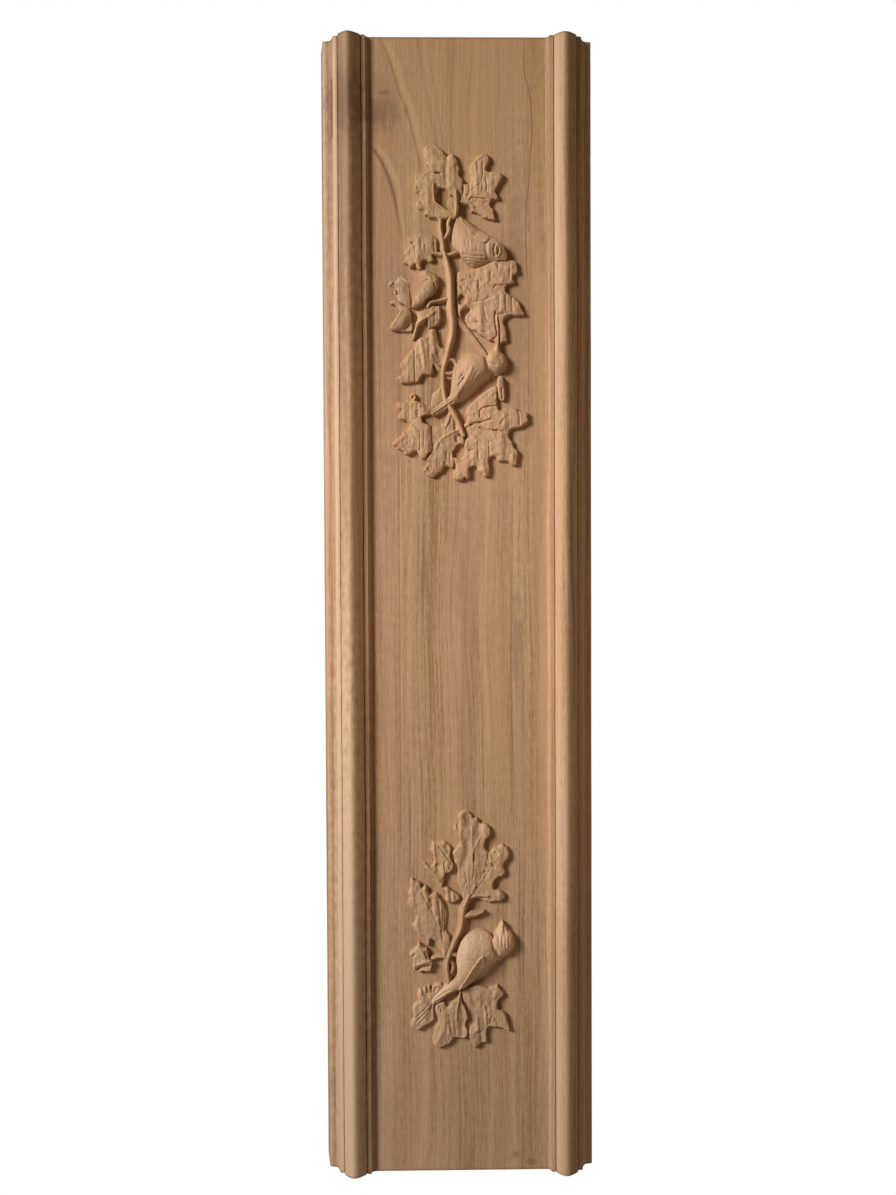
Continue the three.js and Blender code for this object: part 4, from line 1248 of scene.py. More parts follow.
LOWER_LEAVES = (
    Leaf(
        "lower_crown_leaf",
        Rim((
            0.2, -106.4, 2.4, -105.2, 4.6, -105.9, 6, -107.4, 6.6, -109, 7.4, -109.4, 8.6, -109.1,
            9.6, -110.2, 10, -111.6, 11.2, -112.1, 13, -112.2, 14.8, -113.4, 15.8, -115.6, 15.8, -118,
            14.8, -119.8, 13.6, -120.6, 12.9, -122.4, 12.8, -124.6, 13.4, -126.2, 14.8, -127.6, 14, -134,
            11, -142, 7, -149, 4.4, -153, 2.6, -152.4, 1, -148.8, -0.8, -145, -1.4, -141, -1.4, -137,
            -2, -134.4, -3, -132.6, -3.6, -130, -4.2, -127.6, -3.4, -126.2, -2, -125, -0.7, -123.2,
            -0.5, -121.6, -0.8, -120, -1.8, -118.6, -2.4, -117, -3.3, -115.4, -3.3, -113.4, -2.4, -112.8,
            -1.2, -113.7, -0.7, -112.4, -1.1, -110.4, -1.5, -108.6,
        )),
        strokes=lines(-0.3, 0.35, ((1.8, -115.8), (3.2, -117.6), (4.6, -120.6)))
        + lines(0.38, 0.6, ((6.2, -114), (6.2, -124), (6.6, -132), (6, -140)))
        + lines(-1.5, 0.42, ((7, -128.4), (7.1, -132.6)))
        + lines(0.3, 0.5, ((10.6, -118.8), (8.2, -123.6), (6.4, -127)), ((2.2, -116.4), (5.6, -121.4)))
        + lines(-0.5, 0.5, ((2.4, -138), (3.2, -142), (2.4, -145.6)))
        + lines(-1.0, 2.2, ((3.8, -107.6), (4.4, -113)), ((9.6, -113), (9.8, -118)))
        + lines(0.5, 1.2, ((0.6, -108), (0.8, -113), (0, -119), (1.2, -124)))
        + lines(-0.8, 2.0, ((3.6, -122), (3.2, -130), (0.8, -136)))
        + lines(0.5, 1.4, ((12.6, -114.6), (13, -118))),
        work=HandWork(31, 3.2, 0.18),
        lift=0.2,
    ),
    Leaf(
        "lower_right_leaf",
        Rim((
            5.6, -133, 9, -130, 12, -128, 14.4, -127.5, 16, -127.2, 17, -125.8, 18.4, -125, 19.8, -124.8,
            21.2, -123.8, 22.6, -123.5, 23.4, -124.4, 24.6, -124.8, 25.4, -126.4, 25.9, -128.6,
            25.4, -130.6, 24.1, -131.9, 23.2, -133.2, 22.8, -134.8, 23.3, -136.4, 23.7, -138, 23.1, -139.5,
            21.8, -140.3, 20, -140.7, 18.6, -142, 17.6, -143.8, 17.2, -146, 18.1, -147.3, 20.2, -147.6,
            22.2, -148.6, 23.3, -150, 23.5, -151.4, 22.5, -152.8, 20.8, -153.6, 18.4, -153.5, 16.2, -153.9,
            14, -154.2, 12, -153.4, 10, -152.4, 7.6, -152.3, 5.6, -153.4, 4, -155, 2, -154, 1, -151,
            1.4, -146, 2.6, -140,
        )),
        strokes=lines(0.95, 0.55,
            ((2.6, -154.6), (4.4, -151.8), (7.4, -150.4), (11, -150.2), (14.4, -150.6)),
        )
        + lines(0.6, 0.5, ((3.8, -151.6), (3, -146), (2.8, -142)))
        + lines(-0.6, 0.6, ((5.4, -152.6), (8.4, -151.8), (13, -151.9)))
        + lines(0.5, 1.0, ((7.4, -146), (7.6, -136)), ((5, -150), (7.2, -145.6)))
        + lines(-0.25, 0.4,
            ((5, -149), (8.6, -141), (11, -133)), ((6.4, -148), (11, -140), (14, -132)),
            ((8, -147.4), (13.4, -140.4), (17, -134)), ((4, -147), (5.4, -140)), ((12, -143), (17, -146.6)),
        )
        + lines(-0.7, 0.5, ((12.4, -153.8), (14.4, -153.5)))
        + lines(-0.6, 0.55,
            ((11.4, -131.6), (12.4, -133)), ((14.2, -129.6), (15, -131.4)),
            ((16.6, -129.4), (17.6, -130.8)), ((13.6, -134), (15.2, -135.2)),
            ((16.8, -133.4), (17.8, -135)), ((18.6, -127.4), (19.6, -128.4)),
            ((12.4, -137.2), (13.2, -138.2)), ((20.6, -126), (21.4, -127.2)),
        )
        + lines(0.4, 1.4, ((20.8, -126), (20.6, -137)), ((20.6, -149.4), (20.4, -152))),
        work=HandWork(32, 2.6, 0.2),
        lift=0.0,
    ),
    Leaf(
        "lower_left_high_leaf",
        Rim((
            -14.4, -121.3, -12, -121.9, -10, -121.7, -8.4, -121.6, -6.8, -122.6, -5.4, -124.2, -4.8, -126,
            -5.4, -128, -5.4, -130, -4.6, -132, -3.6, -134, -3.8, -136, -4.8, -137.4, -6, -138.4,
            -7.4, -138.4, -8.4, -140, -8.9, -143, -9.6, -145.4, -10.8, -145.5, -11.8, -143.8, -12.6, -141.8,
            -13.8, -140.5, -15.8, -139.5, -17, -138.3, -17.8, -136.7, -18.8, -135.4, -19.5, -133.8,
            -18.9, -133, -17.6, -133.9, -15.8, -134.6, -14, -132.8, -13.8, -130.8, -14.2, -129,
            -15.2, -127.4, -15.7, -126, -15.1, -124, -15, -122.2,
        )),
        strokes=lines(-0.6, 0.45, ((-11.2, -124.2), (-9, -127), (-7, -130), (-4.6, -133.6)))
        + lines(-0.9, 1.6, ((-7.4, -124.4), (-6.4, -127)), ((-11.6, -134.6), (-11, -137)))
        + lines(0.7, 1.0,
            ((-14, -123), (-13.6, -128), (-13.2, -133)), ((-17.6, -135), (-14.6, -137.6), (-11.6, -142)),
        )
        + lines(0.7, 0.8, ((-7.4, -133.6), (-6.8, -135.6)))
        + lines(-0.7, 0.4, ((-7.4, -136), (-6.4, -138)), ((-8.6, -133), (-8, -138.6)))
        + lines(-0.5, 0.6, ((-12.8, -133.8), (-12, -136.6))),
        work=HandWork(33, 3.0, 0.18),
        lift=0.2,
    ),
    Leaf(
        "lower_curled_leaf",
        Rim((
            -8.6, -146.2, -7.8, -145.7, -6.4, -145.9, -5.2, -147.2, -3, -148.5, -1.3, -149.8, -0.5, -151.4,
            -1.5, -152.8, -2.6, -153.8, -4.4, -154, -6.2, -153.8, -7.7, -153.6, -8.4, -152, -7.8, -150.2,
            -8, -148.4,
        )),
        strokes=lines(0.4, 0.6, ((-7, -147), (-6.6, -152)), ((-4, -149.4), (-3.6, -152.6)))
        + lines(-0.5, 0.45, ((-5.4, -148), (-5, -153))),
        lift=0.5,
        work=HandWork(34, 2.2, 0.2),
    ),
    Leaf(
        "lower_left_leaf",
        Rim((
            -26.4, -141.2, -25.2, -141.2, -23.8, -142.2, -22.2, -142.8, -21.2, -143.6, -20.8, -145.6,
            -20, -146.2, -19.2, -145, -18.4, -144.7, -17.5, -146, -17.2, -148, -16.4, -149.8, -15, -149.2,
            -13.4, -148.8, -12.3, -149.4, -11.6, -150.8, -10.6, -152, -9, -153.8, -7.8, -156, -7.1, -158.6,
            -6.9, -162, -7.2, -165.4, -7.8, -168, -7, -170, -5.6, -172, -5.6, -176, -7, -181, -8.8, -183,
            -10, -181, -12, -178, -13.6, -175, -15.4, -173.2, -16.2, -174.2, -16.5, -176.2, -17.2, -177,
            -18, -176.2, -18.1, -174, -18.8, -172.6, -20.6, -171.6, -22.6, -170.6, -24.2, -169,
            -25.2, -167.5, -25.9, -166.4, -25.3, -165.2, -24, -164, -23.6, -162.2, -23.6, -160.6,
            -24.8, -159, -26.2, -157.7, -27.6, -156.2, -28.1, -154.5, -27.5, -152.7, -27.1, -150.9,
            -27.9, -149.4, -27.4, -147.9, -26.5, -145.6, -26.7, -143,
        )),
        strokes=lines(-0.6, 0.5,
            ((-9.4, -173.4), (-9.8, -170), (-10.8, -166), (-10.9, -160), (-11.5, -153.4)),
        )
        + lines(-0.4, 0.5, ((-9.8, -171.6), (-12.4, -164.6), (-16, -157), (-20.4, -149)))
        + lines(-0.3, 0.45, ((-8.7, -171), (-8.2, -166)), ((-14.6, -160), (-15.6, -153)))
        + lines(-0.25, 0.45, ((-10.6, -170), (-16, -166), (-22, -163)), ((-9.6, -168), (-9.6, -157)))
        + lines(0.5, 0.9,
            ((-13.6, -151), (-13.2, -160)), ((-19, -147), (-17.4, -153)), ((-10.4, -168.6), (-12.4, -163)),
        )
        + lines(0.5, 1.3, ((-25.4, -143.6), (-25, -155)), ((-23.6, -164), (-22, -168)))
        + lines(-1.5, 2.2, ((-7.6, -155), (-7.4, -161), (-7.6, -168)))
        + lines(-0.9, 1.6, ((-15.6, -152.6), (-15.4, -156)))
        + lines(-0.9, 1.4, ((-12.6, -174.6), (-10.4, -179))),
        work=HandWork(35, 3.0, 0.18),
    ),
    Leaf(
        "lower_acorn_cup",
        Rim((
            -28.2, -180.2, -26.8, -180.3, -25.4, -179, -23.8, -177.8, -22.8, -176, -21.8, -175.1,
            -20.6, -176.6, -19.2, -177.8, -18.1, -177.7, -17.5, -179.4, -17.3, -182, -16.3, -183.8,
            -15.2, -184.6, -14.8, -186.4, -15.5, -188.6, -15.8, -190.2, -18, -190.5, -20.4, -190.3,
            -22, -191.1, -23.6, -190.2, -25.1, -189.6, -25.6, -187.6, -25.2, -185.6, -25.4, -184.1,
            -26.8, -182.6,
        )),
        strokes=lines(-1.8, 1.0, ((-22.2, -189), (-20, -187.8), (-17, -187.6)))
        + lines(0.5, 0.5, ((-24.6, -185.4), (-24.4, -189)), ((-22, -176.6), (-20.4, -180), (-18.4, -184)))
        + lines(0.6, 0.6, ((-23.4, -186.8), (-19.8, -185.4), (-16, -184.4)))
        + lines(-0.8, 0.6, ((-25.4, -182.4), (-24.4, -181.2)), ((-18.6, -180), (-17.8, -183))),
        lift=0.7,
        lean=(0.06, 0.04),
        work=HandWork(36, 2.2, 0.16),
    ),
    Leaf(
        "lower_foot_left_leaf",
        Rim((
            -22.6, -200.4, -21.4, -199.3, -20.2, -199.7, -19.5, -198.9, -18.6, -198.8, -18, -199.6,
            -17.2, -198, -16.2, -198.2, -15.6, -199.8, -14.8, -198.4, -13.4, -197.2, -10.6, -196.6,
            -9, -199, -10, -203, -12.6, -206.8, -14, -208.2, -14.3, -211, -14.1, -214, -14.2, -215.8,
            -15.4, -217.4, -17.4, -218.7, -19.4, -219.6, -21, -220.8, -22.8, -221.7, -24.8, -221.2,
            -26.2, -220, -26.7, -218.2, -26, -216.4, -25.2, -215, -25.5, -213, -25.9, -210.4, -24.9, -208.4,
            -23.6, -207.1, -22.1, -206.4, -22.7, -204.8, -23.1, -202.6,
        )),
        strokes=lines(-0.4, 0.42,
            ((-15.4, -208.4), (-17.6, -211.2), (-23.4, -216.8)),
            ((-15.6, -210.4), (-18.6, -214.6), (-21.8, -217.8)),
            ((-16.6, -207.6), (-20, -211.4), (-23.6, -214.4)),
        )
        + lines(-0.9, 1.6, ((-15.6, -210), (-16.4, -215.6)))
        + lines(0.5, 1.2, ((-24.2, -209), (-24, -214), (-25.2, -219)), ((-21, -201), (-20, -206)))
        + lines(0.8, 0.5,
            ((-18.8, -199.6), (-18.7, -201)), ((-17.1, -198.8), (-16.6, -200.8)),
            ((-21, -199.9), (-20.9, -202)),
        )
        + lines(-0.6, 0.5, ((-17.9, -199.8), (-17.6, -201.4)), ((-13, -199), (-14, -201))),
        work=HandWork(37, 2.6, 0.18),
    ),
    Leaf(
        "lower_foot_middle_leaf",
        Rim((
            -12.6, -208, -11, -207.1, -9.4, -206.7, -8.5, -207.6, -7.4, -209.4, -6.2, -209.3, -4.9, -207.2,
            -2.8, -205.6, -1.4, -203.4, -0.9, -200.6, 0.2, -201, 0.3, -204, 0.7, -206.6, 1.6, -208.6,
            2.5, -210.6, 3.3, -213, 3.8, -215.5, 2.8, -217.6, 2.4, -219.4, 3.5, -221.4, 3.8, -223.6,
            3, -225.4, 1.7, -226.5, 0, -226.5, -2, -226.1, -3.7, -226.2, -4.6, -227.5, -6, -229, -7.8, -230,
            -9.5, -230.8, -11.4, -231.3, -13.5, -230.8, -14.8, -229.3, -15.3, -227, -14.9, -225,
            -14.1, -223.3, -14.2, -221.4, -13.4, -219.6, -12.4, -218, -12.1, -216, -13, -213.6, -13.8, -211,
            -13.6, -209,
        )),
        strokes=lines(0.6, 0.5, ((-0.6, -202), (-1.4, -207), (-2.2, -211.4), (-2.5, -216.4)))
        + lines(-0.8, 1.8, ((0.2, -209), (0.8, -216), (0.6, -224)))
        + lines(-0.7, 0.45, ((-11.6, -208.6), (-10.6, -210), (-10.4, -212)))
        + lines(-0.4, 0.5,
            ((-6.2, -214), (-5.4, -222)), ((-3.4, -217), (-2.8, -224)), ((-8.6, -226), (-7, -228)),
        )
        + lines(0.5, 1.4, ((-9, -213), (-8.6, -220), (-12, -227)))
        + lines(0.5, 0.8, ((-6.6, -219.4), (-6.4, -223.6))),
        work=HandWork(38, 2.8, 0.2),
    ),
    Leaf(
        "lower_foot_right_leaf",
        Rim((
            1, -200.4, 4, -199.3, 8, -198.4, 12, -198.8, 14.4, -199.9, 16.2, -199.3, 18, -199, 19.3, -198.1,
            20.2, -199.6, 21.6, -200.8, 22.7, -202.2, 22.4, -203.9, 21, -205.1, 19.9, -206.1, 19.3, -208,
            19.3, -210, 20, -211.3, 21.8, -212, 23.4, -213.3, 24.1, -215, 24.5, -217, 25.5, -219.3,
            26.1, -221.4, 25.8, -222.7, 24, -222.4, 22, -221.3, 20.2, -220.9, 18, -220.8, 16.4, -220.5,
            14.9, -220.3, 13.9, -221.2, 13.6, -223, 13.6, -225, 13.9, -227, 13.3, -228.5, 12, -229,
            10.6, -229.1, 9.6, -229.9, 8.4, -231.1, 7, -231.6, 5.9, -230.8, 5, -228.6, 4.4, -226, 4, -223,
            4.6, -221.3, 6, -219.6, 7.4, -217.6, 7.7, -215.2, 6.5, -213.6, 5.4, -211.6, 4.1, -209.6,
            2.5, -207.9, 1.3, -206, 0.7, -203.6,
        )),
        strokes=lines(0.6, 0.7, ((12.2, -209), (13, -213), (13.2, -218.6)))
        + lines(0.6, 0.8, ((8.4, -215), (8.8, -219), (8.6, -222)))
        + lines(-0.6, 0.5,
            ((17, -214.6), (18.6, -216.6)), ((16, -215), (15.4, -218.6)), ((9, -222.8), (9.6, -223.4)),
        )
        + lines(-0.9, 1.2, ((10.6, -223), (10.8, -227.6)))
        + lines(-0.5, 1.4, ((15.6, -206), (16.4, -210)), ((5.4, -203), (7.6, -209)))
        + lines(0.4, 1.2,
            ((9.6, -202), (10.4, -208)), ((18.4, -201), (18, -204)), ((6.4, -223.4), (7, -229)),
        ),
        work=HandWork(39, 2.8, 0.2),
    ),
)


CROWN_BIRD = Rounded(
    "crown_bird",
    (
        (End(-0.4, 203.6, 2.2, 3.2), End(2.4, 197, 5.6, 4.8), End(6.6, 189, 9.6, 6.3)),
        (
            End(8, 188.4, 9.6, 6.3), End(15, 189, 7.4, 6.1), End(20, 187.2, 5.8, 5.7),
            End(24.4, 183.6, 2.2, 4),
        ),
    ),
    Rim((
        0.3, 205.6, 3, 204.2, 6, 202.2, 9, 200.1, 12.5, 197.5, 16, 194.6, 19, 192.6, 21.6, 190.6,
        23.6, 188.4, 25, 186, 25.5, 184, 24.6, 182.3, 22.6, 182.2, 20.8, 182, 18.6, 180.4, 16.6, 178.9,
        12, 178.4, 8, 178.9, 5, 180.5, 3, 182.1, 1.6, 184.2, 0.2, 186.6, -1.4, 187.8, -2.6, 190, -3.1, 193,
        -2.9, 196, -2.3, 199, -1.4, 202,
    )),
    strokes=lines(-0.45, 0.45,
        ((4, 183.2), (10, 182.2), (17, 182.6)), ((4.4, 181.8), (10, 180.8), (17, 181.2)),
        ((6, 180.4), (11, 179.6), (16, 179.9)), ((2.6, 185), (8, 183.8), (13, 183.8)),
    )
    + lines(-0.9, 1.8, ((3, 181), (8, 179), (14, 179), (18, 181)))
    + lines(-0.5, 0.8, ((14.6, 192), (14.2, 188), (15.4, 183)))
    + lines(0.35, 1.0, ((16, 190), (15.8, 185.6)))
    + lines(-1.2, 0.42, ((19, 189.8), (18.4, 188), (18.3, 186), (18.9, 184.4)))
    + lines(0.6, 0.5, ((19.5, 188.8), (19.4, 185.6)))
    + lines(-1.0, 0.42, ((20.7, 188), (20.8, 186), (20.5, 184.8)))
    + lines(0.6, 0.45, ((20.4, 189.4), (21.7, 187.8), (21.8, 185.4), (20.6, 183.8)))
    + lines(-0.25, 0.4, ((3.6, 192.4), (4, 188.6)), ((5.6, 191), (5.9, 188)), ((9.6, 189.6), (9.8, 186.4)))
    + lines(-0.3, 0.5, ((7.6, 186.4), (12.6, 185.8))),
    edge=1.4,
)

FOOT_BIRD = Rounded(
    "foot_bird",
    (
        (End(-13.6, 103, 1.5, 3.6), End(-3, 110.2, 2.6, 4.8)),
        (
            End(-0.6, 112.4, 3.8, 5.2), End(2.8, 119.4, 6.8, 6.8), End(7, 125.2, 8, 7.6),
            End(10.6, 126.8, 7.2, 7.2),
        ),
        (End(18.8, 130, 5.8, 6.6), End(19.8, 129.4, 5.6, 6.4)),
        (End(19.8, 134, 2.2, 4.8), End(20.4, 139.6, 0.9, 3.8)),
    ),
    Rim((
        -14.2, 103.8, -13.2, 105.4, -10, 108.2, -6.4, 110.6, -4.6, 112.6, -3.9, 116, -3.5, 120, -3, 124,
        -2.3, 127.6, -1.4, 130, 0.2, 131.1, 2, 132.8, 4, 134, 7, 134.4, 10, 133.6, 12.6, 132, 14.6, 131.8,
        15.6, 134, 17.4, 136, 19, 137.4, 19.8, 139.4, 20.4, 142, 21.1, 139.6, 21.6, 136.4, 23, 134.5,
        24.5, 132.6, 25.3, 130.4, 25.3, 128, 24.7, 125.8, 23, 124, 20.2, 123, 16.6, 121.6, 13.2, 118.6,
        9.6, 115.4, 6, 112.4, 2.6, 110, -0.8, 108.6, -5, 106.2, -9, 103.2, -12.4, 101.6, -13.8, 102.2,
    )),
    strokes=lines(-0.6, 0.42,
        ((-12.4, 102.9), (-7, 106.2), (-3, 109)), ((-12.8, 104.2), (-8, 107.8), (-4.6, 109.8)),
    )
    + lines(-0.6, 0.45, ((0.4, 120.4), (1.8, 122.6)), ((-0.2, 117), (1.2, 118.8), (2.6, 120.8)))
    + lines(-0.28, 0.5,
        ((5.4, 117.4), (7.6, 120), (9.4, 123.6)), ((4.4, 114.6), (7.4, 117.4), (10, 121.4)),
        ((2.6, 113), (6, 115.4), (9, 118.4)), ((1.6, 122), (3, 124.6)), ((2.4, 120.6), (5, 125.6)),
    )
    + lines(0.5, 1.0, ((-0.6, 112.4), (2.6, 117.6), (5.6, 122.4), (6.8, 126)))
    + lines(-1.0, 1.0, ((14.2, 131.6), (14.6, 128), (15.2, 124.4), (16.4, 122.4)))
    + lines(-1.9, 2.2, ((2, 110.6), (7, 113.8), (11.6, 118), (15, 121.4)))
    + lines(0.3, 1.6, ((3, 130), (6.6, 131.6)))
    + lines(0.4, 1.4, ((17, 132.6), (16.8, 129.6)))
    + lines(-0.4, 0.5, ((20.2, 132), (22.4, 129.6)), ((16, 128.6), (19.6, 127.6))),
    edge=1.4,
)

LOW_BIRD = Rounded(
    "low_bird",
    (
        (End(-14.4, -206.2, 1.7, 3.8), End(-6, -199.6, 3.0, 4.8), End(-1, -195.6, 4.4, 5.4)),
        (End(0, -194, 4.8, 5.6), End(4.6, -185, 8, 7.2), End(8.6, -179, 10.4, 8.0), End(12, -179, 9, 7.4)),
        (End(20.6, -175.6, 7, 7), End(22, -174.6, 6.4, 6.6)),
        (End(22, -171, 4.2, 5.6), End(22, -165, 0.8, 4)),
    ),
    Rim((
        -15.7, -206.8, -14.9, -204.6, -13.4, -201.8, -11.4, -199.6, -8.6, -197.6, -5.6, -195.8, -3, -194.2,
        -2, -192, -1.9, -188.6, -2.3, -185, -1.9, -181, -0.8, -177.4, 0.5, -174.4, 2.6, -171.8, 5.2, -169.8,
        8.2, -168.6, 11.4, -168.6, 14.2, -169.8, 16, -171.8, 16.9, -173, 17.5, -171.6, 18.6, -169.4,
        20, -167, 21.2, -165, 22, -163.9, 22.7, -165.4, 24.1, -167.2, 25.8, -169, 27.2, -171, 28.1, -173.4,
        28.4, -176, 28, -178.6, 26.7, -180.6, 24.6, -182, 22.6, -183.4, 21, -185.4, 19.4, -187.8,
        17.2, -190.4, 14.2, -193, 11, -195, 8, -196.4, 4.4, -198.2, 1, -199.8, -2.6, -200.8, -6, -202.4,
        -9, -204.8, -12, -207, -14.2, -207.9,
    )),
    strokes=lines(-0.9, 0.42, ((-13.6, -206.6), (-8.6, -203.6), (-5, -201.6), (-1.4, -200)))
    + lines(-0.5, 0.4, ((-13.6, -205), (-9.6, -201.8), (-6, -199.6)))
    + lines(-1.3, 2.0, ((6, -197.4), (11, -194.4), (15.4, -190.6), (19, -186)))
    + lines(-0.9, 1.0, ((17, -173), (17.6, -177), (19, -180.4)))
    + lines(-0.16, 0.42,
        ((20, -171), (19.6, -176)), ((21.8, -172), (21.6, -178)), ((23.4, -171), (23.6, -177)),
        ((25, -173), (25.2, -177.6)),
    )
    + lines(0.18, 0.45,
        ((20.9, -171), (20.7, -176)), ((22.6, -171), (22.5, -175.4)), ((24.2, -171.6), (24.4, -177)),
    )
    + lines(0.5, 0.9, ((18.4, -173), (18.3, -177.6)))
    + lines(-0.6, 0.7, ((22.8, -166.6), (23, -170.4))),
    work=HandWork(6, 1.4, 0.1),
    edge=1.4,
)

BIRDS = (
    CROWN_BIRD,
    Leaf(
        "crown_bird_wing",
        Rim((
            0.2, 205, 1.6, 202.2, 3.4, 199.6, 5.4, 196.8, 7.4, 194, 9.2, 192, 11.4, 190.6, 13.6, 190.4,
            15.4, 191.6, 16.2, 193.4, 15, 195.2, 12.4, 197.6, 9, 200.1, 6, 202.2, 3, 204.2,
        )),
        rides=CROWN_BIRD,
        edge=0.5,
        crown=0.9,
        roll=1.2,
        lift=-0.2,
        strokes=lines(0.4, 0.5, ((1.4, 203), (3.6, 199.6), (7.4, 194.4)))
        + lines(-0.2, 0.4, ((6, 200.6), (7.2, 198.4)), ((7.6, 200.4), (8.8, 197.6)))
        + lines(-0.3, 0.5, ((9.4, 194.6), (14, 193.2))),
        work=HandWork(8, 1.8, 0.12),
    ),
    FOOT_BIRD,
    LOW_BIRD,
    Leaf(
        "low_bird_wing",
        Rim((
            -1.8, -199.9, 0.8, -196.4, 3.2, -192.4, 4.8, -189, 7, -185.4, 9.4, -182, 11, -180.5,
            12.1, -181.8, 12.2, -185, 11.6, -188.6, 10.2, -192, 7.8, -195, 4.4, -197.4, 1, -199.6,
        )),
        rides=LOW_BIRD,
        edge=0.7,
        crown=1.2,
        roll=0.8,
        strokes=lines(0.7, 0.5, ((-0.8, -198.6), (3.6, -191.8), (5.2, -188.6), (9.8, -182.2)))
        + lines(-0.5, 1.4, ((4, -195), (9, -188.6), (10.6, -184))),
        work=HandWork(8, 2.0, 0.1),
    ),
    Rounded(
        "upper_acorn",
        (
            (End(-16.4, 174.6, 2.6, 4.2), End(-13.8, 171.6, 4.0, 4.6)),
            (End(-15.4, 168.4, 4.6, 4.9), End(-18.6, 164.6, 4.2, 4.8), End(-23.2, 159.4, 1.6, 3.4)),
        ),
        Rim((
            -19.5, 177, -19.8, 174.6, -18.8, 172.4, -17.6, 171.2, -18.4, 168.6, -20.4, 165.4, -22.4, 162.2,
            -23.9, 159.6, -24.3, 157.8, -22.4, 157.8, -20, 158.6, -18, 160.4, -16.4, 162.6, -14.2, 163.8,
            -12, 165.4, -10.9, 168, -10.2, 171, -10.6, 173.6, -12.2, 175.4, -14.2, 176.4, -17, 177.4,
        )),
        strokes=lines(-0.7, 0.6, ((-17.4, 171.4), (-16, 171.8)), ((-12.4, 170.4), (-12, 167.6)))
        + lines(-0.3, 0.4,
            ((-13.4, 174), (-13, 171.4)), ((-19.6, 163), (-18.6, 161.6)), ((-18, 167.6), (-14, 164.8)),
        ),
        work=HandWork(19, 2.4, 0.16),
        edge=1.6,
    ),
    Leaf(
        "side_acorn_cup",
        Rim((
            -30, 174.2, -31.8, 172.9, -33.2, 171.7, -34.8, 172, -36.2, 170.8, -36, 169.3, -34.2, 168.9,
            -32.8, 168.6, -33.6, 167, -32.4, 165, -31.2, 163, -30.6, 160, -28, 157, -25, 156, -25.2, 162,
            -25.4, 168, -26.2, 172,
        )),
        strokes=lines(0.9, 0.8, ((-35.4, 170.2), (-34.4, 171.2)))
        + lines(-0.5, 0.5, ((-32.2, 168), (-31.4, 164.8)), ((-30, 173.6), (-26.6, 171.4)))
        + lines(0.5, 0.5, ((-33, 167.6), (-32.4, 165.6))),
        edge=0.35,
        crown=0.9,
        roll=3.0,
        lean=(0.02, -0.03),
    ),
    Rounded(
        "side_acorn",
        (
            (End(-27.6, 155, 4.2, 4.4), End(-30, 151, 4, 4.4), End(-34.4, 147.8, 1.8, 3.2)),
            (
                End(-34.2, 160.6, 1.1, 2.8), End(-31.6, 160, 1.3, 3), End(-29.6, 157.6, 1.7, 3.6),
                End(-28, 155, 2, 4.2),
            ),
        ),
        Rim((
            -35.3, 160.8, -34.4, 161.8, -32.6, 161.8, -30.6, 161, -28.6, 159, -26.4, 157.4, -25, 155,
            -24.4, 151, -24.2, 146.4, -28, 145.9, -32, 146, -34.6, 146.2, -35.7, 147.4, -34.8, 149.2,
            -33.2, 151.4, -31.6, 153.8, -30.4, 155.8, -31.4, 157, -32.2, 158.6, -33.6, 159.8, -35, 159.8,
        )),
        strokes=lines(-0.8, 1.4, ((-27, 148.4), (-25.6, 151)))
        + lines(0.4, 0.6, ((-34, 148.8), (-31, 153.4), (-29.4, 156))),
        work=HandWork(20, 2.6, 0.12),
        edge=1.5,
    ),
    Rounded(
        "hanging_bud",
        ((End(22, 120, 1.7, 3.6), End(22.2, 115, 1.9, 3.4), End(22.6, 110.8, 1.5, 2.6)),),
        Rim((
            20.5, 121.8, 21.4, 122.8, 22.8, 122.2, 23.6, 120, 24, 117, 24.1, 113, 23.6, 110.2, 22.4, 109.6,
            21.2, 111, 20.6, 114, 20.2, 118,
        )),
        strokes=lines(-0.7, 0.6, ((22.6, 115.6), (22.9, 110.6)))
        + lines(0.4, 0.4, ((21.2, 120.6), (21.2, 115))),
        edge=1.2,
    ),
)

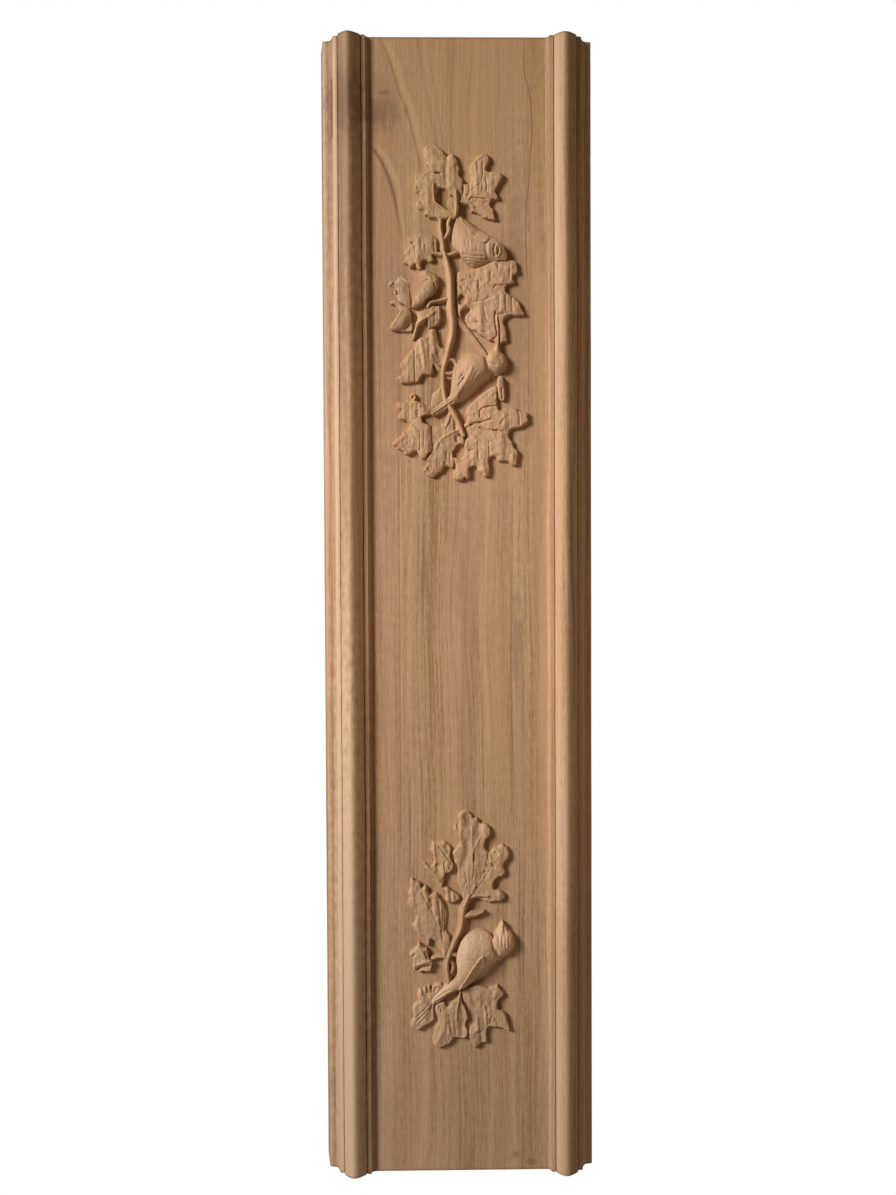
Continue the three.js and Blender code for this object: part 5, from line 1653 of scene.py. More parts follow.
STEMS = (
    stem("upper_stem", 4.0,
        (-7.2, 186.2, 1.0), (-5.7, 181, 1.4), (-4.4, 175, 1.4), (-4, 169, 1.5), (-4, 162, 1.7),
        (-3.8, 156, 1.9), (-3, 150, 1.7), (-3.3, 144, 1.5), (-4.6, 139, 1.4), (-6, 133, 1.1),
        (-7.6, 127, 1.2), (-8.1, 121, 1.0), (-7.8, 115, 0.9), (-6.8, 110, 1.0), (-4, 105.4, 1.3),
        (-2.4, 102.4, 1.5), (-0.2, 98.4, 1.1), (1.3, 94.4, 1.2), (2.4, 91.6, 1.0),
    ),
    stem("upper_stub", 3.6,
        (-9, 203.4, 0.9), (-9.2, 199, 0.7), (-8.6, 195.4, 0.8), (-8, 191, 1.0), (-7.6, 187, 1.1),
    ),
    stem("upper_bar", 3.0, (-12.8, 186.2, 0.7), (-8, 185.4, 0.9), (-3.8, 185.4, 0.8), (0, 186.8, 0.8)),
    stem("neck_stem", 2.9,
        (-3.4, 205.6, 1.0), (-5, 201.4, 0.7), (-4.6, 198, 0.8), (-6, 195, 0.7), (-7.6, 193, 0.7),
    ),
    stem("crown_stalk", 5.0, (-1.1, 218, 0.7), (-0.9, 213, 0.9), (-0.8, 208.6, 1.1), (-1.4, 205, 1.0)),
    stem("crown_rib", 4.4,
        (-12.7, 222, 0.5), (-12.6, 215, 0.6), (-11.6, 211.6, 0.7), (-8.6, 209.4, 0.6), (-5, 206.8, 0.7),
        (-1.8, 204.6, 1.0),
    ),
    stem("fork_stem", 3.2, (-4, 103.4, 1.0), (-5.4, 99.4, 0.9), (-6.6, 96.4, 0.7)),
    stem("acorn_twig", 3.4,
        (-5.4, 162.6, 0.8), (-10, 161.4, 0.7), (-14.2, 160.4, 0.6), (-15.6, 158.4, 0.7),
    ),
    stem("leaf_twig", 1.3,
        (-1.2, 152.8, 1.0), (1.6, 149.2, 0.9), (5.2, 145.2, 0.8), (10, 139, 0.75), (14.4, 132.8, 0.7),
    ),
    stem("upper_claw", 3.4, (-8.4, 124.6, 0.9), (-5, 123.6, 0.8), (-2, 124, 0.9)),
    stem("upper_low_claw", 2.6, (-8.2, 122.6, 0.6), (-5.4, 121.4, 0.6), (-2.6, 121, 0.6)),
    stem("upper_high_claw", 2.6,
        (-7, 129.8, 0.5), (-5.2, 131, 0.6), (-3, 130.8, 0.6), (-1.2, 129.4, 0.7), (-0.8, 127.6, 0.6),
    ),
    stem("middle_twig", 2.8, (-12, 129, 0.7), (-10.4, 127.2, 0.7), (-9.2, 126, 0.6), (-7.8, 125.8, 0.8)),
    stem("lower_stem", 4.0,
        (4.6, -149.6, 0.9), (3.4, -152.4, 1.1), (2, -155.6, 1.5), (1.0, -159.6, 1.6), (0.8, -163.6, 1.4),
        (-0.2, -168, 1.3), (-2.4, -172.6, 1.2), (-4.2, -176.8, 1.2), (-5.9, -180.8, 1.1), (-7.2, -185, 1.3),
        (-7.5, -188.8, 1.1), (-7, -192.6, 1.2), (-6.6, -196.6, 1.4),
    ),
    stem("bud_twig", 3.4, (1.6, -161.6, 1.2), (5, -160.6, 1.5), (8.4, -160.2, 1.1), (12.2, -158.6, 0.4)),
    stem("cup_twig", 2.8, (-7, -183.4, 0.9), (-11, -182.6, 0.7), (-15, -183.6, 0.8)),
    stem("lower_claw", 3.2, (-5.8, -180.8, 0.9), (-4, -181.4, 0.9), (-1.4, -182.4, 0.9)),
    stem("lower_ring", 2.8, (-6.6, -184.4, 0.6), (-4.6, -186, 0.6), (-4, -188.6, 0.7), (-5.2, -191.6, 0.7)),
    stem("lower_root", 2.6, (-10.4, -172.6, 0.6), (-8.6, -175.6, 0.8), (-6.6, -178.4, 0.9)),
)


def linear(code: str) -> tuple[float, float, float, float]:
    """Turns an sRGB colour into a linear one.

    Args:
        code: The hex value, such as #a98562.

    Returns:
        Red, green, blue and alpha.
    """
    values = [int(code[i : i + 2], 16) / 255 for i in (1, 3, 5)]
    parts = [v / 12.92 if v <= 0.04045 else ((v + 0.055) / 1.055) ** 2.4 for v in values]
    return (*parts, 1.0)


def add_node(tree: Tree, kind: str, links: dict | None = None, **settings: object) -> bpy.types.Node:
    """Adds a node with its settings and links.

    Args:
        tree: The node tree.
        kind: The node's type name.
        links: For each input, an output socket to link or a value to set.
        **settings: The node's own settings.

    Returns:
        The node.
    """
    node = tree.nodes.new(kind)
    for key, value in settings.items():
        setattr(node, key, value)
    for key, value in (links or {}).items():
        socket = node.inputs[key]
        if isinstance(value, Socket):
            tree.links.new(value, socket)
        else:
            socket.default_value = value
    return node


class Tint(Enum):
    """The colours of the bare hardwood, as sRGB hex values. The pale tint and the line tint also serve as
    painted highlight and painted shade along the mouldings.
    """

    PALE = "#cba176"
    BLEACHED_AND_HIGHLIGHT = "#dab893"
    MIDDLE = "#b58d63"
    DARK = "#946c45"
    FLECK = "#785433"
    ROSY = "#b58261"
    YELLOW = "#b58c55"
    GREY = "#8d7a5c"
    ORANGE = "#b8814f"
    STRAW = "#c8a06e"
    SMOKE = "#7d5a3b"
    LINE = "#6b4727"


@dataclass(frozen=True)
class GrainAndPaintedLightLine:
    """A dark or pale line that runs up the board through given points: most lie in the grain, a few along
    the mouldings are painted shade or painted highlight.

    Attributes:
        places: Where the line passes, from its lower to its upper end.
        width: How far its colour reaches, in millimetres.
        tint: Its colour.
        strength: How strongly the colour shows, from 0 to 1.
    """

    places: tuple[Place, ...]
    width: float
    tint: Tint
    strength: float


@dataclass(frozen=True)
class StainAndHighlight:
    """A soft patch of another colour: most are stains in the wood, one is painted highlight.

    Attributes:
        middle: Its middle.
        reach: Its half width and half height.
        tint: Its colour.
        strength: How strongly the colour shows, from 0 to 1.
    """

    middle: Place
    reach: Place
    tint: Tint
    strength: float


LINES = (
    # Painted shade at the root of the left outer cove.
    GrainAndPaintedLightLine(((-67.3, -340), (-67.4, -100), (-67.2, 100), (-67.4, 340)), 1.0, Tint.LINE, 0.42),
    # Paler wood on the left outer fillet, with painted highlight where the cove's top edge faces the lamp.
    GrainAndPaintedLightLine(((-63.9, -340), (-63.8, -100), (-64, 100), (-63.9, 340)), 2.3, Tint.BLEACHED_AND_HIGHLIGHT, 0.72),
    GrainAndPaintedLightLine(((-69.8, -340), (-69.7, -100), (-69.9, 100), (-69.8, 340)), 1.3, Tint.BLEACHED_AND_HIGHLIGHT, 0.3),
    # Painted highlight on the right bead's inner foot, which faces the lamp, and on the fillet beside it.
    GrainAndPaintedLightLine(((50.8, -340), (50.8, -100), (50.8, 100), (50.8, 340)), 3.6, Tint.BLEACHED_AND_HIGHLIGHT, 0.45),
    # Painted shadow: the left bead's shadow falling on the inner fillet beside it.
    GrainAndPaintedLightLine(((-48.9, -340), (-48.9, -100), (-48.9, 100), (-48.9, 340)), 1.3, Tint.LINE, 0.4),
    GrainAndPaintedLightLine(((-65.4, 246), (-65.6, 258), (-65.4, 268), (-65.7, 279)), 0.9, Tint.LINE, 0.8),
    GrainAndPaintedLightLine(((46.6, 60), (46.8, 120), (46.5, 190), (46.8, 250), (46.7, 300)), 0.3, Tint.LINE, 0.8),
    GrainAndPaintedLightLine(
        (
            (36.6, 166), (35.6, 206), (36.4, 217), (37.3, 225), (37.8, 238), (38.9, 249), (38.7, 257),
            (36.9, 273), (34.8, 284), (35.9, 300),
        ),
        0.45, Tint.LINE, 0.7,
    ),
    GrainAndPaintedLightLine(((36.8, 20), (36.3, 70), (36.6, 120), (37, 172)), 0.45, Tint.LINE, 0.45),
    GrainAndPaintedLightLine(((-24.2, 88), (-24.6, 110), (-24.1, 136), (-24.8, 176)), 0.4, Tint.LINE, 0.4),
    GrainAndPaintedLightLine(((-41.6, -40), (-42, 40), (-41.2, 120), (-41.8, 200)), 0.5, Tint.LINE, 0.3),
    GrainAndPaintedLightLine(
        (
            (-28.6, 190), (-30.8, 205), (-33.3, 216.6), (-37.3, 228.9), (-40.4, 235.1), (-43.9, 240.3),
            (-48.4, 244.2),
        ),
        1.6, Tint.LINE, 0.75,
    ),
    GrainAndPaintedLightLine(
        ((-26.4, 180), (-29.6, 206), (-31, 220.2), (-33.4, 227.6), (-38.4, 238), (-43, 244)),
        2.6, Tint.STRAW, 0.6,
    ),
    GrainAndPaintedLightLine(
        (
            (-19, 230), (-21.4, 241.2), (-24, 251.7), (-26.6, 261.4), (-30.1, 269.2), (-32.8, 278.9),
            (-35.4, 286.8), (-42, 300),
        ),
        1.0, Tint.LINE, 0.42,
    ),
    GrainAndPaintedLightLine(
        (
            (-16.4, 230), (-19, 241.2), (-21.4, 251.7), (-24, 261.4), (-27.5, 269.2), (-30.2, 278.9),
            (-32.6, 286.8), (-39, 300),
        ),
        3.2, Tint.STRAW, 0.55,
    ),
    GrainAndPaintedLightLine(((-10, 236), (-13.4, 256), (-16.6, 272), (-19, 288), (-20.4, 299)), 2.0, Tint.FLECK, 0.2),
    GrainAndPaintedLightLine(((-7, 236), (-9.4, 256), (-12, 272), (-14.4, 288), (-15, 299)), 0.6, Tint.LINE, 0.25),
    GrainAndPaintedLightLine(((6, 236), (5, 256), (6, 272), (8, 288), (8.6, 299)), 1.2, Tint.FLECK, 0.2),
    GrainAndPaintedLightLine(((21, 230), (20, 250), (21.4, 270), (20.6, 299)), 1.0, Tint.FLECK, 0.2),
    GrainAndPaintedLightLine(((-1.5, -296), (-0.6, -262), (-1, -236)), 0.9, Tint.FLECK, 0.22),
    GrainAndPaintedLightLine(((-31.2, -130), (-31.6, -40), (-31.4, 20), (-31.8, 90)), 0.5, Tint.LINE, 0.35),
    GrainAndPaintedLightLine(((-30.2, -130), (-30.6, -40), (-30.4, 20), (-30.8, 90)), 0.6, Tint.STRAW, 0.6),
    GrainAndPaintedLightLine(((1.4, -104), (1.8, -60), (2, -20), (1.2, 40)), 2.6, Tint.FLECK, 0.2),
    GrainAndPaintedLightLine(((-18.6, -90), (-18.2, -40), (-19.2, 10), (-17.8, 60)), 0.6, Tint.LINE, 0.4),
    GrainAndPaintedLightLine(((27.6, -120), (27, -40), (27.8, 10), (28.4, 66)), 0.7, Tint.LINE, 0.35),
    GrainAndPaintedLightLine(((12.4, -110), (12, -40), (13, 10), (12.6, 60)), 0.5, Tint.LINE, 0.22),
    GrainAndPaintedLightLine(((58.8, -60), (59.8, -10), (58.6, 30), (60, 80)), 1.1, Tint.LINE, 0.5),
)

STAINS_AND_HIGHLIGHTS = (
    StainAndHighlight((-59, 290), (14, 300), Tint.FLECK, 0.66),
    StainAndHighlight((-59, -220), (13, 360), Tint.BLEACHED_AND_HIGHLIGHT, 0.7),
    StainAndHighlight((-36, 170), (16, 150), Tint.DARK, 0.3),
    StainAndHighlight((0, 310), (90, 160), Tint.YELLOW, 0.55),
    StainAndHighlight((0, -320), (260, 230), Tint.BLEACHED_AND_HIGHLIGHT, 0.17),
    StainAndHighlight((-39.6, 258.6), (14, 12), Tint.SMOKE, 0.5),
    StainAndHighlight((-41, 256), (8, 8), Tint.FLECK, 0.25),
    StainAndHighlight((-37.6, 264), (16, 34), Tint.SMOKE, 0.3),
    StainAndHighlight((-38.2, 269.4), (5, 1.8), Tint.FLECK, 0.5),
    StainAndHighlight((-44.6, 265.8), (3, 1.5), Tint.FLECK, 0.5),
    StainAndHighlight((-38.6, 243.6), (10, 8), Tint.ORANGE, 0.5),
    StainAndHighlight((-38, 205), (9, 30), Tint.ORANGE, 0.3),
    StainAndHighlight((-59.6, 263), (15, 26), Tint.FLECK, 0.85),
    StainAndHighlight((42.6, 262), (4.6, 60), Tint.YELLOW, 0.6),
    StainAndHighlight((42.6, 150), (3.6, 80), Tint.STRAW, 0.3),
    StainAndHighlight((31, 160), (10, 110), Tint.DARK, 0.5),
    StainAndHighlight((42.4, 40), (6, 320), Tint.STRAW, 0.35),
    # Painted highlight on the right bead's lit side, lower down the board.
    StainAndHighlight((55, -110), (7, 90), Tint.BLEACHED_AND_HIGHLIGHT, 0.4),
    StainAndHighlight((-33, -60), (16, 140), Tint.ROSY, 0.25),
    StainAndHighlight((-18.6, 18), (3, 24), Tint.FLECK, 0.4),
    StainAndHighlight((29.6, -16), (5, 34), Tint.GREY, 0.55),
    StainAndHighlight((5, -20), (8, 150), Tint.DARK, 0.28),
    StainAndHighlight((18.5, -50), (9, 170), Tint.STRAW, 0.4),
    StainAndHighlight((-8, -122), (9, 60), Tint.STRAW, 0.45),
    StainAndHighlight((-21, 60), (7, 150), Tint.DARK, 0.24),
    StainAndHighlight((31, -60), (8, 110), Tint.DARK, 0.28),
    StainAndHighlight((29, -290), (3, 3), Tint.SMOKE, 0.5),
    StainAndHighlight((37, -294), (4, 3), Tint.SMOKE, 0.5),
)


@dataclass(frozen=True)
class BareHardwood:
    """Sanded, unfinished light hardwood: dry and matt, with fine lines of grain along the board. Its colour
    also holds painted shade towards the board's ends and painted shade and highlight along the mouldings.

    Attributes:
        roughness: How matt the sanded surface is.
        ior: Of dry wood fibre.
        streak: Width of the broad bands of tone, in millimetres.
        fibre: Width of the fine fibres, in millimetres.
        fleck: Width of the pores, in millimetres.
        ripple: Pitch of the faint bars that a cutter left across the field, in millimetres.
        sway: How far the grain leans to either side as it runs, in millimetres.
        end_shade: How much of the brightness is left near the board's ends.
        cleanness: Brightness of the cut, 1 on the board and more in freshly carved wood.
        fresh: How far a fresh cut draws the colour to the wood's paler, greyer inner tone.
        carved: Whether it is carved, with torn pale fibres at the foot of its steep sides.
    """

    roughness: float = 0.66
    ior: float = 1.5
    streak: float = 11.0
    fibre: float = 1.0
    fleck: float = 0.55
    ripple: float = 1.8
    sway: float = 1.6
    end_shade: float = 0.73
    cleanness: float = 1.0
    fresh: float = 0.0
    carved: bool = False

    # Shares of the fibres, pores and ripple in the tone, and the tones of the darkest and palest wood
    FIBRE_SHARE = 0.42
    FLECK_SHARE = 0.24
    RIPPLE_SHARE = 0.05
    DARKEST_TONE = 0.4
    PALEST_TONE = 0.6
    # Relief of the open grain: its strength, and its depth in millimetres
    GRAIN_STRENGTH = 0.35
    GRAIN_DEPTH = 0.4
    # Heights above the field between which torn fibres fade in, and how far they show
    TORN_TOP = 0.9
    TORN_FOOT = 0.3
    TORN_SHARE = 0.4
    # Where the board is brightest, and how far from there the painted shade starts and ends, in millimetres
    BRIGHTEST = 30.0
    FADE_START = 60.0
    FADE_END = 290.0
    # The thin dark band along both ends: where it starts and is full, from the board's ends, and its tone
    END_BAND_START = 1.3
    END_BAND_CORE = 0.3
    END_BAND_TONE = 0.62

    def dress(self, pieces: list[bpy.types.Object]) -> None:
        """Gives the finish to pieces.

        Args:
            pieces: The pieces.
        """
        material = self.make()
        for piece in pieces:
            piece.data.materials.clear()
            piece.data.materials.append(material)

    def make(self) -> bpy.types.Material:
        """Builds the wood's nodes.

        Returns:
            The material.
        """
        material = bpy.data.materials.new("bare_sanded_hardwood")
        material.use_nodes = True
        tree = material.node_tree
        tree.nodes.clear()
        place = add_node(tree, "ShaderNodeTexCoord").outputs["Object"]
        place = add_node(
            tree, "ShaderNodeVectorMath", {0: place, "Scale": 1 / MM}, operation="SCALE"
        ).outputs["Vector"]
        grain = self.bend(tree, place)
        # Broad bands of earlier and later wood give the board its slow change of tone
        broad = self.pattern(tree, grain, (1 / self.streak, 0.3 / self.streak, 1 / 380), 3.0)
        # Fibres: fine upright lines, a few centimetres long
        fibre = self.pattern(tree, grain, (1 / self.fibre, 0.5 / self.fibre, 1 / 70), 2.0)
        # Pores: short dark flecks
        fleck = self.pattern(tree, grain, (1 / self.fleck, 0.6 / self.fleck, 1 / 4.5), 2.0)
        # Ripple: faint bars across the board that sanding left of the cutter's passes
        ripple = self.pattern(tree, place, (1 / 9, 0.1, 1 / self.ripple), 1.0)
        tone = broad
        layers = ((fibre, self.FIBRE_SHARE), (fleck, self.FLECK_SHARE), (ripple, self.RIPPLE_SHARE))
        for layer, share in layers:
            tone = add_node(
                tree, "ShaderNodeMix", {"Factor": share, "A": tone, "B": layer}, data_type="FLOAT"
            ).outputs["Result"]
        ramp = add_node(tree, "ShaderNodeValToRGB", {"Fac": tone})
        elements = ramp.color_ramp.elements
        elements[0].position, elements[0].color = self.DARKEST_TONE, linear(Tint.DARK.value)
        elements[1].position, elements[1].color = self.PALEST_TONE, linear(Tint.PALE.value)
        middle = elements.new(0.5)
        middle.color = linear(Tint.MIDDLE.value)
        # Heartwood bands are a little rosier than the rest
        rosy = self.pattern(tree, grain, (1 / 16, 1 / 50, 1 / 420), 1.0)
        rosy = add_node(
            tree, "ShaderNodeMapRange", {"Value": rosy, "From Min": 0.42, "From Max": 0.62, "To Max": 0.3}
        ).outputs["Result"]
        tints = [(rosy, Tint.ROSY)]
        tints += [(self.stain_and_highlight(tree, place, mark), mark.tint) for mark in STAINS_AND_HIGHLIGHTS]
        tints += [(self.line(tree, place, mark), mark.tint) for mark in LINES]
        tints.append((self.fresh, Tint.BLEACHED_AND_HIGHLIGHT))
        if self.carved:
            tints.append((self.torn(tree, place), Tint.BLEACHED_AND_HIGHLIGHT))
        # Each tint draws the colour towards itself and lets the grain show
        colour = ramp.outputs["Color"]
        for share, tint in tints:
            colour = add_node(
                tree, "ShaderNodeMix", {0: share, 6: colour, 7: linear(tint.value)}, data_type="RGBA"
            ).outputs[2]
        colour = self.paint_end_shade(tree, place, colour)
        shader = add_node(
            tree,
            "ShaderNodeBsdfPrincipled",
            {"Base Color": colour, "Roughness": self.roughness, "IOR": self.ior},
        )
        # Open grain: the fibres and pores catch the raking light a little
        relief = add_node(
            tree, "ShaderNodeMix", {"Factor": 0.5, "A": fibre, "B": fleck}, data_type="FLOAT"
        ).outputs["Result"]
        bump = add_node(
            tree,
            "ShaderNodeBump",
            {"Strength": self.GRAIN_STRENGTH, "Distance": self.GRAIN_DEPTH * MM, "Height": relief},
        )
        tree.links.new(bump.outputs["Normal"], shader.inputs["Normal"])
        add_node(tree, "ShaderNodeOutputMaterial", {"Surface": shader.outputs["BSDF"]})
        return material

    def torn(self, tree: Tree, place: Socket) -> Socket:
        """Shows torn pale fibres at the foot of the carving's steep sides.

        Args:
            tree: The node tree.
            place: Places in millimetres.

        Returns:
            The share of the pale tint.
        """
        parts = add_node(tree, "ShaderNodeSeparateXYZ", {"Vector": place})
        return add_node(
            tree,
            "ShaderNodeMapRange",
            {
                "Value": parts.outputs["Y"],
                "From Min": -FIELD_DEPTH - self.TORN_TOP,
                "From Max": -FIELD_DEPTH - self.TORN_FOOT,
                "To Min": 0.0,
                "To Max": self.TORN_SHARE,
            },
        ).outputs["Result"]

    def bend(self, tree: Tree, place: Socket) -> Socket:
        """Lets the grain sway from side to side as it runs up the board.

        Args:
            tree: The node tree.
            place: Places in millimetres.

        Returns:
            The places, shifted sideways.
        """
        slow = self.pattern(tree, place, (1 / 70, 1 / 70, 1 / 110), 1.0)
        shift = add_node(
            tree,
            "ShaderNodeMapRange",
            {"Value": slow, "From Min": 0.3, "From Max": 0.7, "To Min": -self.sway, "To Max": self.sway},
        ).outputs["Result"]
        aside = add_node(tree, "ShaderNodeCombineXYZ", {"X": shift}).outputs["Vector"]
        return add_node(
            tree, "ShaderNodeVectorMath", {0: place, 1: aside}, operation="ADD"
        ).outputs["Vector"]

    def pattern(self, tree: Tree, place: Socket, rates: tuple[float, float, float], detail: float) -> Socket:
        """Makes a chance pattern whose blobs are stretched along the grain.

        Args:
            tree: The node tree.
            place: Places in millimetres.
            rates: Blobs per millimetre across, into and along the board.
            detail: How many finer layers it has.

        Returns:
            The pattern's value, from 0 to 1.
        """
        stretched = add_node(
            tree, "ShaderNodeVectorMath", {0: place, 1: rates}, operation="MULTIPLY"
        ).outputs["Vector"]
        return add_node(
            tree, "ShaderNodeTexNoise", {"Vector": stretched, "Scale": 1.0, "Detail": detail}
        ).outputs["Fac"]

    def line(self, tree: Tree, place: Socket, mark: GrainAndPaintedLightLine) -> Socket:
        """Returns how strongly a line shows at each place.

        Args:
            tree: The node tree.
            place: Places in millimetres.
            mark: The line.

        Returns:
            The share of the line's tint, from 0 to the line's strength.
        """
        parts = add_node(tree, "ShaderNodeSeparateXYZ", {"Vector": place})
        low, high = mark.places[0][1], mark.places[-1][1]
        left = min(x for x, _ in mark.places)
        wide = max(max(x for x, _ in mark.places) - left, 1.0)
        along = add_node(
            tree, "ShaderNodeMapRange", {"Value": parts.outputs["Z"], "From Min": low, "From Max": high}
        ).outputs["Result"]
        course = add_node(tree, "ShaderNodeFloatCurve", {"Value": along})
        curve = course.mapping.curves[0]
        for x, z in mark.places[1:-1]:
            curve.points.new((z - low) / (high - low), (x - left) / wide)
        for point, (x, _) in zip((curve.points[0], curve.points[-1]), (mark.places[0], mark.places[-1])):
            point.location[1] = (x - left) / wide
        course.mapping.update()
        centre = add_node(
            tree,
            "ShaderNodeMapRange",
            {"Value": course.outputs["Value"], "To Min": left, "To Max": left + wide},
        ).outputs["Result"]
        away = add_node(
            tree, "ShaderNodeMath", {0: parts.outputs["X"], 1: centre}, operation="SUBTRACT"
        ).outputs["Value"]
        away = add_node(tree, "ShaderNodeMath", {0: away}, operation="ABSOLUTE").outputs["Value"]
        near = add_node(
            tree,
            "ShaderNodeMapRange",
            {"Value": away, "From Max": mark.width, "To Min": mark.strength, "To Max": 0.0},
            interpolation_type="SMOOTHSTEP",
        ).outputs["Result"]
        # The line thins out at both its ends
        middle = add_node(
            tree, "ShaderNodeMath", {0: along, 1: 0.5}, operation="SUBTRACT"
        ).outputs["Value"]
        middle = add_node(tree, "ShaderNodeMath", {0: middle}, operation="ABSOLUTE").outputs["Value"]
        kept = add_node(
            tree,
            "ShaderNodeMapRange",
            {"Value": middle, "From Min": 0.42, "From Max": 0.5, "To Min": 1.0, "To Max": 0.0},
        ).outputs["Result"]
        return add_node(tree, "ShaderNodeMath", {0: near, 1: kept}, operation="MULTIPLY").outputs["Value"]

    def stain_and_highlight(self, tree: Tree, place: Socket, mark: StainAndHighlight) -> Socket:
        """Returns how strongly a patch of colour shows at each place.

        Args:
            tree: The node tree.
            place: Places in millimetres.
            mark: The patch.

        Returns:
            The share of the patch's tint, from 0 to its strength.
        """
        middle = (mark.middle[0], 0.0, mark.middle[1])
        shifted = add_node(tree, "ShaderNodeVectorMath", {0: place, 1: middle}, operation="SUBTRACT")
        rates = (1 / mark.reach[0], 0.0, 1 / mark.reach[1])
        scaled = add_node(
            tree, "ShaderNodeVectorMath", {0: shifted.outputs["Vector"], 1: rates}, operation="MULTIPLY"
        )
        away = add_node(
            tree, "ShaderNodeVectorMath", {0: scaled.outputs["Vector"]}, operation="LENGTH"
        ).outputs["Value"]
        patchy = self.pattern(tree, place, (0.35, 0.1, 0.2), 2.0)
        away = add_node(tree, "ShaderNodeMath", {0: away, 1: patchy}, operation="ADD").outputs["Value"]
        return add_node(
            tree,
            "ShaderNodeMapRange",
            {"Value": away, "From Min": 0.7, "From Max": 1.5, "To Min": mark.strength, "To Max": 0.0},
            interpolation_type="SMOOTHSTEP",
        ).outputs["Result"]

    def paint_end_shade(self, tree: Tree, place: Socket, colour: Socket) -> Socket:
        """Dulls the colour towards both ends of the board: painted shade where less light reaches the ends.

        Args:
            tree: The node tree.
            place: Places in millimetres.
            colour: The colour.

        Returns:
            The duller colour.
        """
        parts = add_node(tree, "ShaderNodeSeparateXYZ", {"Vector": place})
        height = add_node(
            tree, "ShaderNodeMath", {0: parts.outputs["Z"], 1: self.BRIGHTEST}, operation="SUBTRACT"
        ).outputs["Value"]
        height = add_node(tree, "ShaderNodeMath", {0: height}, operation="ABSOLUTE").outputs["Value"]
        kept = add_node(
            tree,
            "ShaderNodeMapRange",
            {
                "Value": height,
                "From Min": self.FADE_START,
                "From Max": self.FADE_END,
                "To Min": self.cleanness,
                "To Max": self.cleanness * self.end_shade,
            },
        ).outputs["Result"]
        # A thin dark band along both ends
        end = add_node(
            tree, "ShaderNodeMath", {0: parts.outputs["Z"]}, operation="ABSOLUTE"
        ).outputs["Value"]
        edge = add_node(
            tree,
            "ShaderNodeMapRange",
            {
                "Value": end,
                "From Min": HALF_LENGTH - self.END_BAND_START,
                "From Max": HALF_LENGTH - self.END_BAND_CORE,
                "To Min": 1.0,
                "To Max": self.END_BAND_TONE,
            },
        ).outputs["Result"]
        kept = add_node(tree, "ShaderNodeMath", {0: kept, 1: edge}, operation="MULTIPLY").outputs["Value"]
        return add_node(
            tree, "ShaderNodeVectorMath", {0: colour, "Scale": kept}, operation="SCALE"
        ).outputs["Vector"]


# The board's finish, and those of the carving, where the wood is freshly cut and paler
SANDED = BareHardwood()
CARVED = BareHardwood(cleanness=1.05, fresh=0.03, carved=True)
CARVED_LEAF = BareHardwood(cleanness=1.03, fresh=0.13, carved=True)
CARVED_BIRD = BareHardwood(cleanness=1.03, fresh=0.07, carved=True)
CARVED_LOW_BIRD = BareHardwood(cleanness=1.22, fresh=0.28, carved=True)

# Colours of the light: the window's, and the room's warmer one
DAYLIGHT = (1.0, 1.015, 1.055)
ROOM = (1.08, 0.86, 0.64)


@dataclass(frozen=True)
class Lamp:
    """A square lamp that faces the board's middle.

    Attributes:
        name: The lamp's name.
        place: Where it stands, in metres.
        size: Its side, in metres.
        energy: Its power, in watts.
        colour: Its light's colour.
    """

    name: str
    place: tuple[float, float, float]
    size: float
    energy: float
    colour: tuple[float, float, float]

    def hang(self) -> None:
        """Adds the lamp to the scene."""
        data = bpy.data.lights.new(self.name, "AREA")
        data.energy = self.energy
        data.color = self.colour
        data.size = self.size
        lamp = bpy.data.objects.new(self.name, data)
        lamp.location = self.place
        lamp.rotation_euler = (-lamp.location).to_track_quat("-Z", "Y").to_euler()
        bpy.context.scene.collection.objects.link(lamp)


LAMPS = (
    Lamp("key", (-1.56, -1.27, 0.86), 0.6, 58.5, DAYLIGHT),
    Lamp("side", (1.9, -0.25, 0.6), 0.5, 5.0, ROOM),
    Lamp("back", (0.1, 2.2, 0.8), 1.4, 46.0, DAYLIGHT),
)


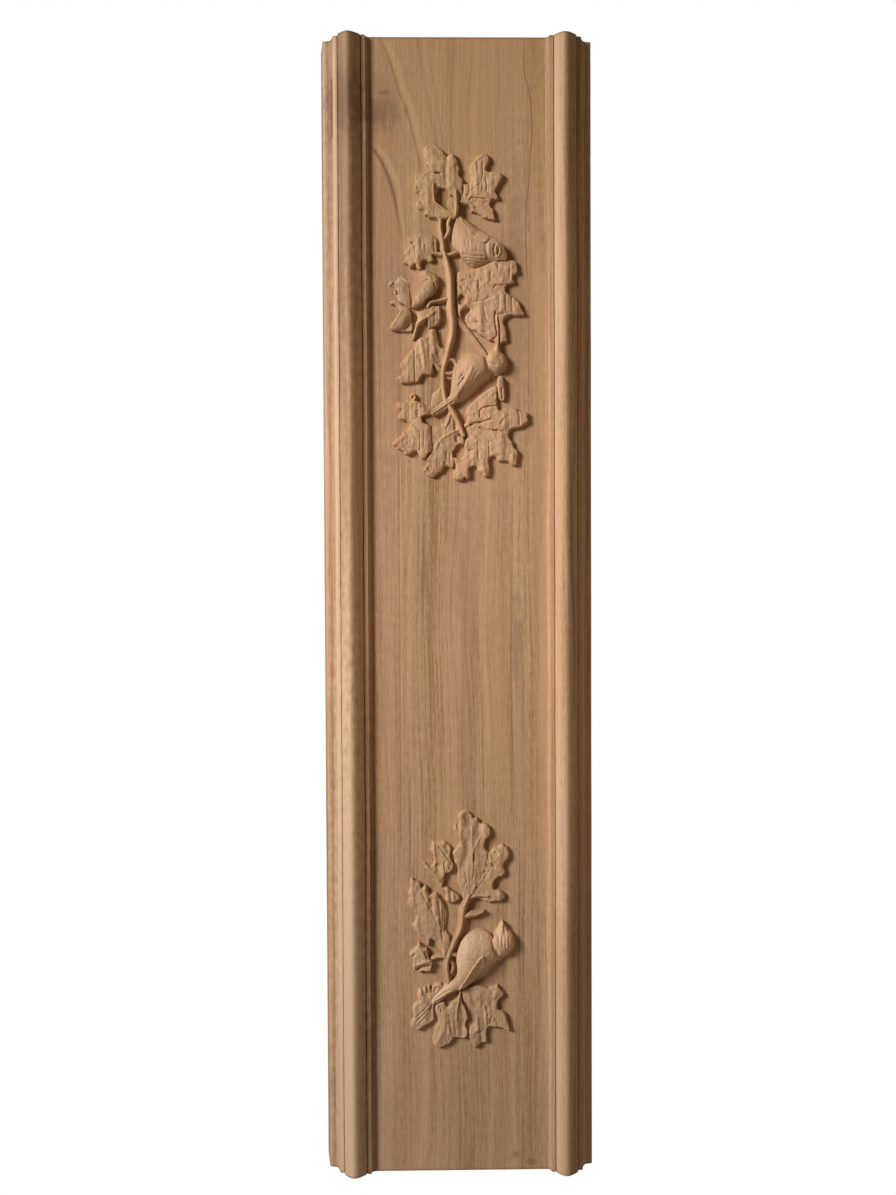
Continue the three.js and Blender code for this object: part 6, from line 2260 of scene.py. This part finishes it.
@dataclass
class Studio:
    """The camera of the photograph, plain soft light and a pale floor.

    Attributes:
        eye: Where the camera stands, in millimetres.
        focal: Its focal length, in pixels of the photograph.
        turns: Its tilt up, roll and pan, in degrees.
        picture_width: Width of the photograph, in pixels.
        sensor_width: Width of the camera's sensor, in millimetres.
        room_light: Strength of the weak even light.
        floor_radius: Radius of the floor, in metres.
        floor_height: Where the floor lies, in metres from the board's middle.
    """

    eye: tuple[float, float, float] = (-17.75, -680.0 - FIELD_DEPTH, 25.63)
    focal: float = 1294.4
    turns: tuple[float, float, float] = (1.5786, -0.26373, 0.99711)
    picture_width: int = 896
    sensor_width: float = 36.0
    room_light: float = 0.137
    floor_radius: float = 1.0
    floor_height: float = -1.2

    def build(self) -> None:
        """Makes the camera, the lights and the floor."""
        self.place_camera()
        self.place_lights()
        self.lay_floor()

    def place_camera(self) -> None:
        """Places the camera where the photograph was taken from."""
        turn = Vector([math.radians(value) for value in self.turns])
        world_to_eye = Matrix.Rotation(turn.length, 3, turn.normalized())
        right, ahead, up = world_to_eye
        axes = Matrix((right, up, -ahead)).transposed().to_4x4()
        axes.translation = Vector(self.eye) * MM
        data = bpy.data.cameras.new("camera")
        data.sensor_fit = "HORIZONTAL"
        data.sensor_width = self.sensor_width
        data.lens = self.focal * data.sensor_width / self.picture_width
        data.clip_start = 0.01
        camera = bpy.data.objects.new("camera", data)
        camera.matrix_world = axes
        bpy.context.scene.collection.objects.link(camera)
        bpy.context.scene.camera = camera

    def place_lights(self) -> None:
        """Lights the board softly from the upper left, with weaker lamps at its right and behind it."""
        for lamp in LAMPS:
            lamp.hang()
        self.set_world()
        bpy.context.scene.view_settings.view_transform = "Standard"

    def set_world(self) -> None:
        """Makes a world that is white to the camera and gives the board a weak even light."""
        world = bpy.data.worlds.new("studio")
        world.use_nodes = True
        tree = world.node_tree
        tree.nodes.clear()
        seen = add_node(tree, "ShaderNodeLightPath").outputs["Is Camera Ray"]
        strength = add_node(
            tree, "ShaderNodeMapRange", {"Value": seen, "To Min": self.room_light, "To Max": 1.0}
        ).outputs["Result"]
        colour = add_node(
            tree, "ShaderNodeMix", {0: seen, 6: (*ROOM, 1.0), 7: (1, 1, 1, 1)}, data_type="RGBA"
        ).outputs[2]
        light = add_node(tree, "ShaderNodeBackground", {"Color": colour, "Strength": strength})
        add_node(tree, "ShaderNodeOutputWorld", {"Surface": light.outputs["Background"]})
        bpy.context.scene.world = world

    def lay_floor(self) -> None:
        """Lays a pale floor well below the board, which hangs."""
        mesh = bmesh.new()
        bmesh.ops.create_circle(mesh, cap_ends=True, segments=96, radius=self.floor_radius)
        bmesh.ops.translate(mesh, verts=mesh.verts, vec=(0, 0, self.floor_height))
        floor = finish_mesh("floor", mesh, math.radians(30))
        material = bpy.data.materials.new("pale_floor")
        material.use_nodes = True
        shader = material.node_tree.nodes["Principled BSDF"]
        shader.inputs["Base Color"].default_value = linear("#e8e6e2")
        shader.inputs["Roughness"].default_value = 0.9
        floor.data.materials.append(material)


@dataclass
class Moulding:
    """The whole part: the board and everything carved on it.

    Attributes:
        board: The board with its edge mouldings.
        carver: What cuts the forms.
    """

    board: Board = field(default_factory=Board)
    carver: Carver = field(default_factory=Carver)

    def build(self) -> list[bpy.types.Object]:
        """Makes every piece, and lets them stand for the solid.

        Returns:
            The pieces.
        """
        pieces = [self.board.build()]
        for form in (*UPPER_LEAVES, *LOWER_LEAVES, *STEMS, *BIRDS):
            pieces.append(self.carver.carve(form))
        for piece in pieces:
            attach(piece, "root")
            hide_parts(NODE)
            LOG.info("%s: %d faces", piece.name, len(piece.data.polygons))
        return pieces


def main() -> None:
    """Builds the part, its finish and the studio."""
    logging.basicConfig(level=logging.INFO, format="%(message)s")
    pieces = Moulding().build()
    low = {"low_bird", "low_bird_wing"}
    birds = {form.name for form in BIRDS} - low
    leaves = {form.name for form in LOWER_LEAVES}
    others = {piece.name for piece in pieces[1:]} - low - birds - leaves
    SANDED.dress(pieces[:1])
    groups = (
        (CARVED, others),
        (CARVED_LEAF, leaves),
        (CARVED_BIRD, birds),
        (CARVED_LOW_BIRD, low),
    )
    for finish, names in groups:
        finish.dress([piece for piece in pieces if piece.name in names])
    Studio().build()


if __name__ == "__main__":
    main()
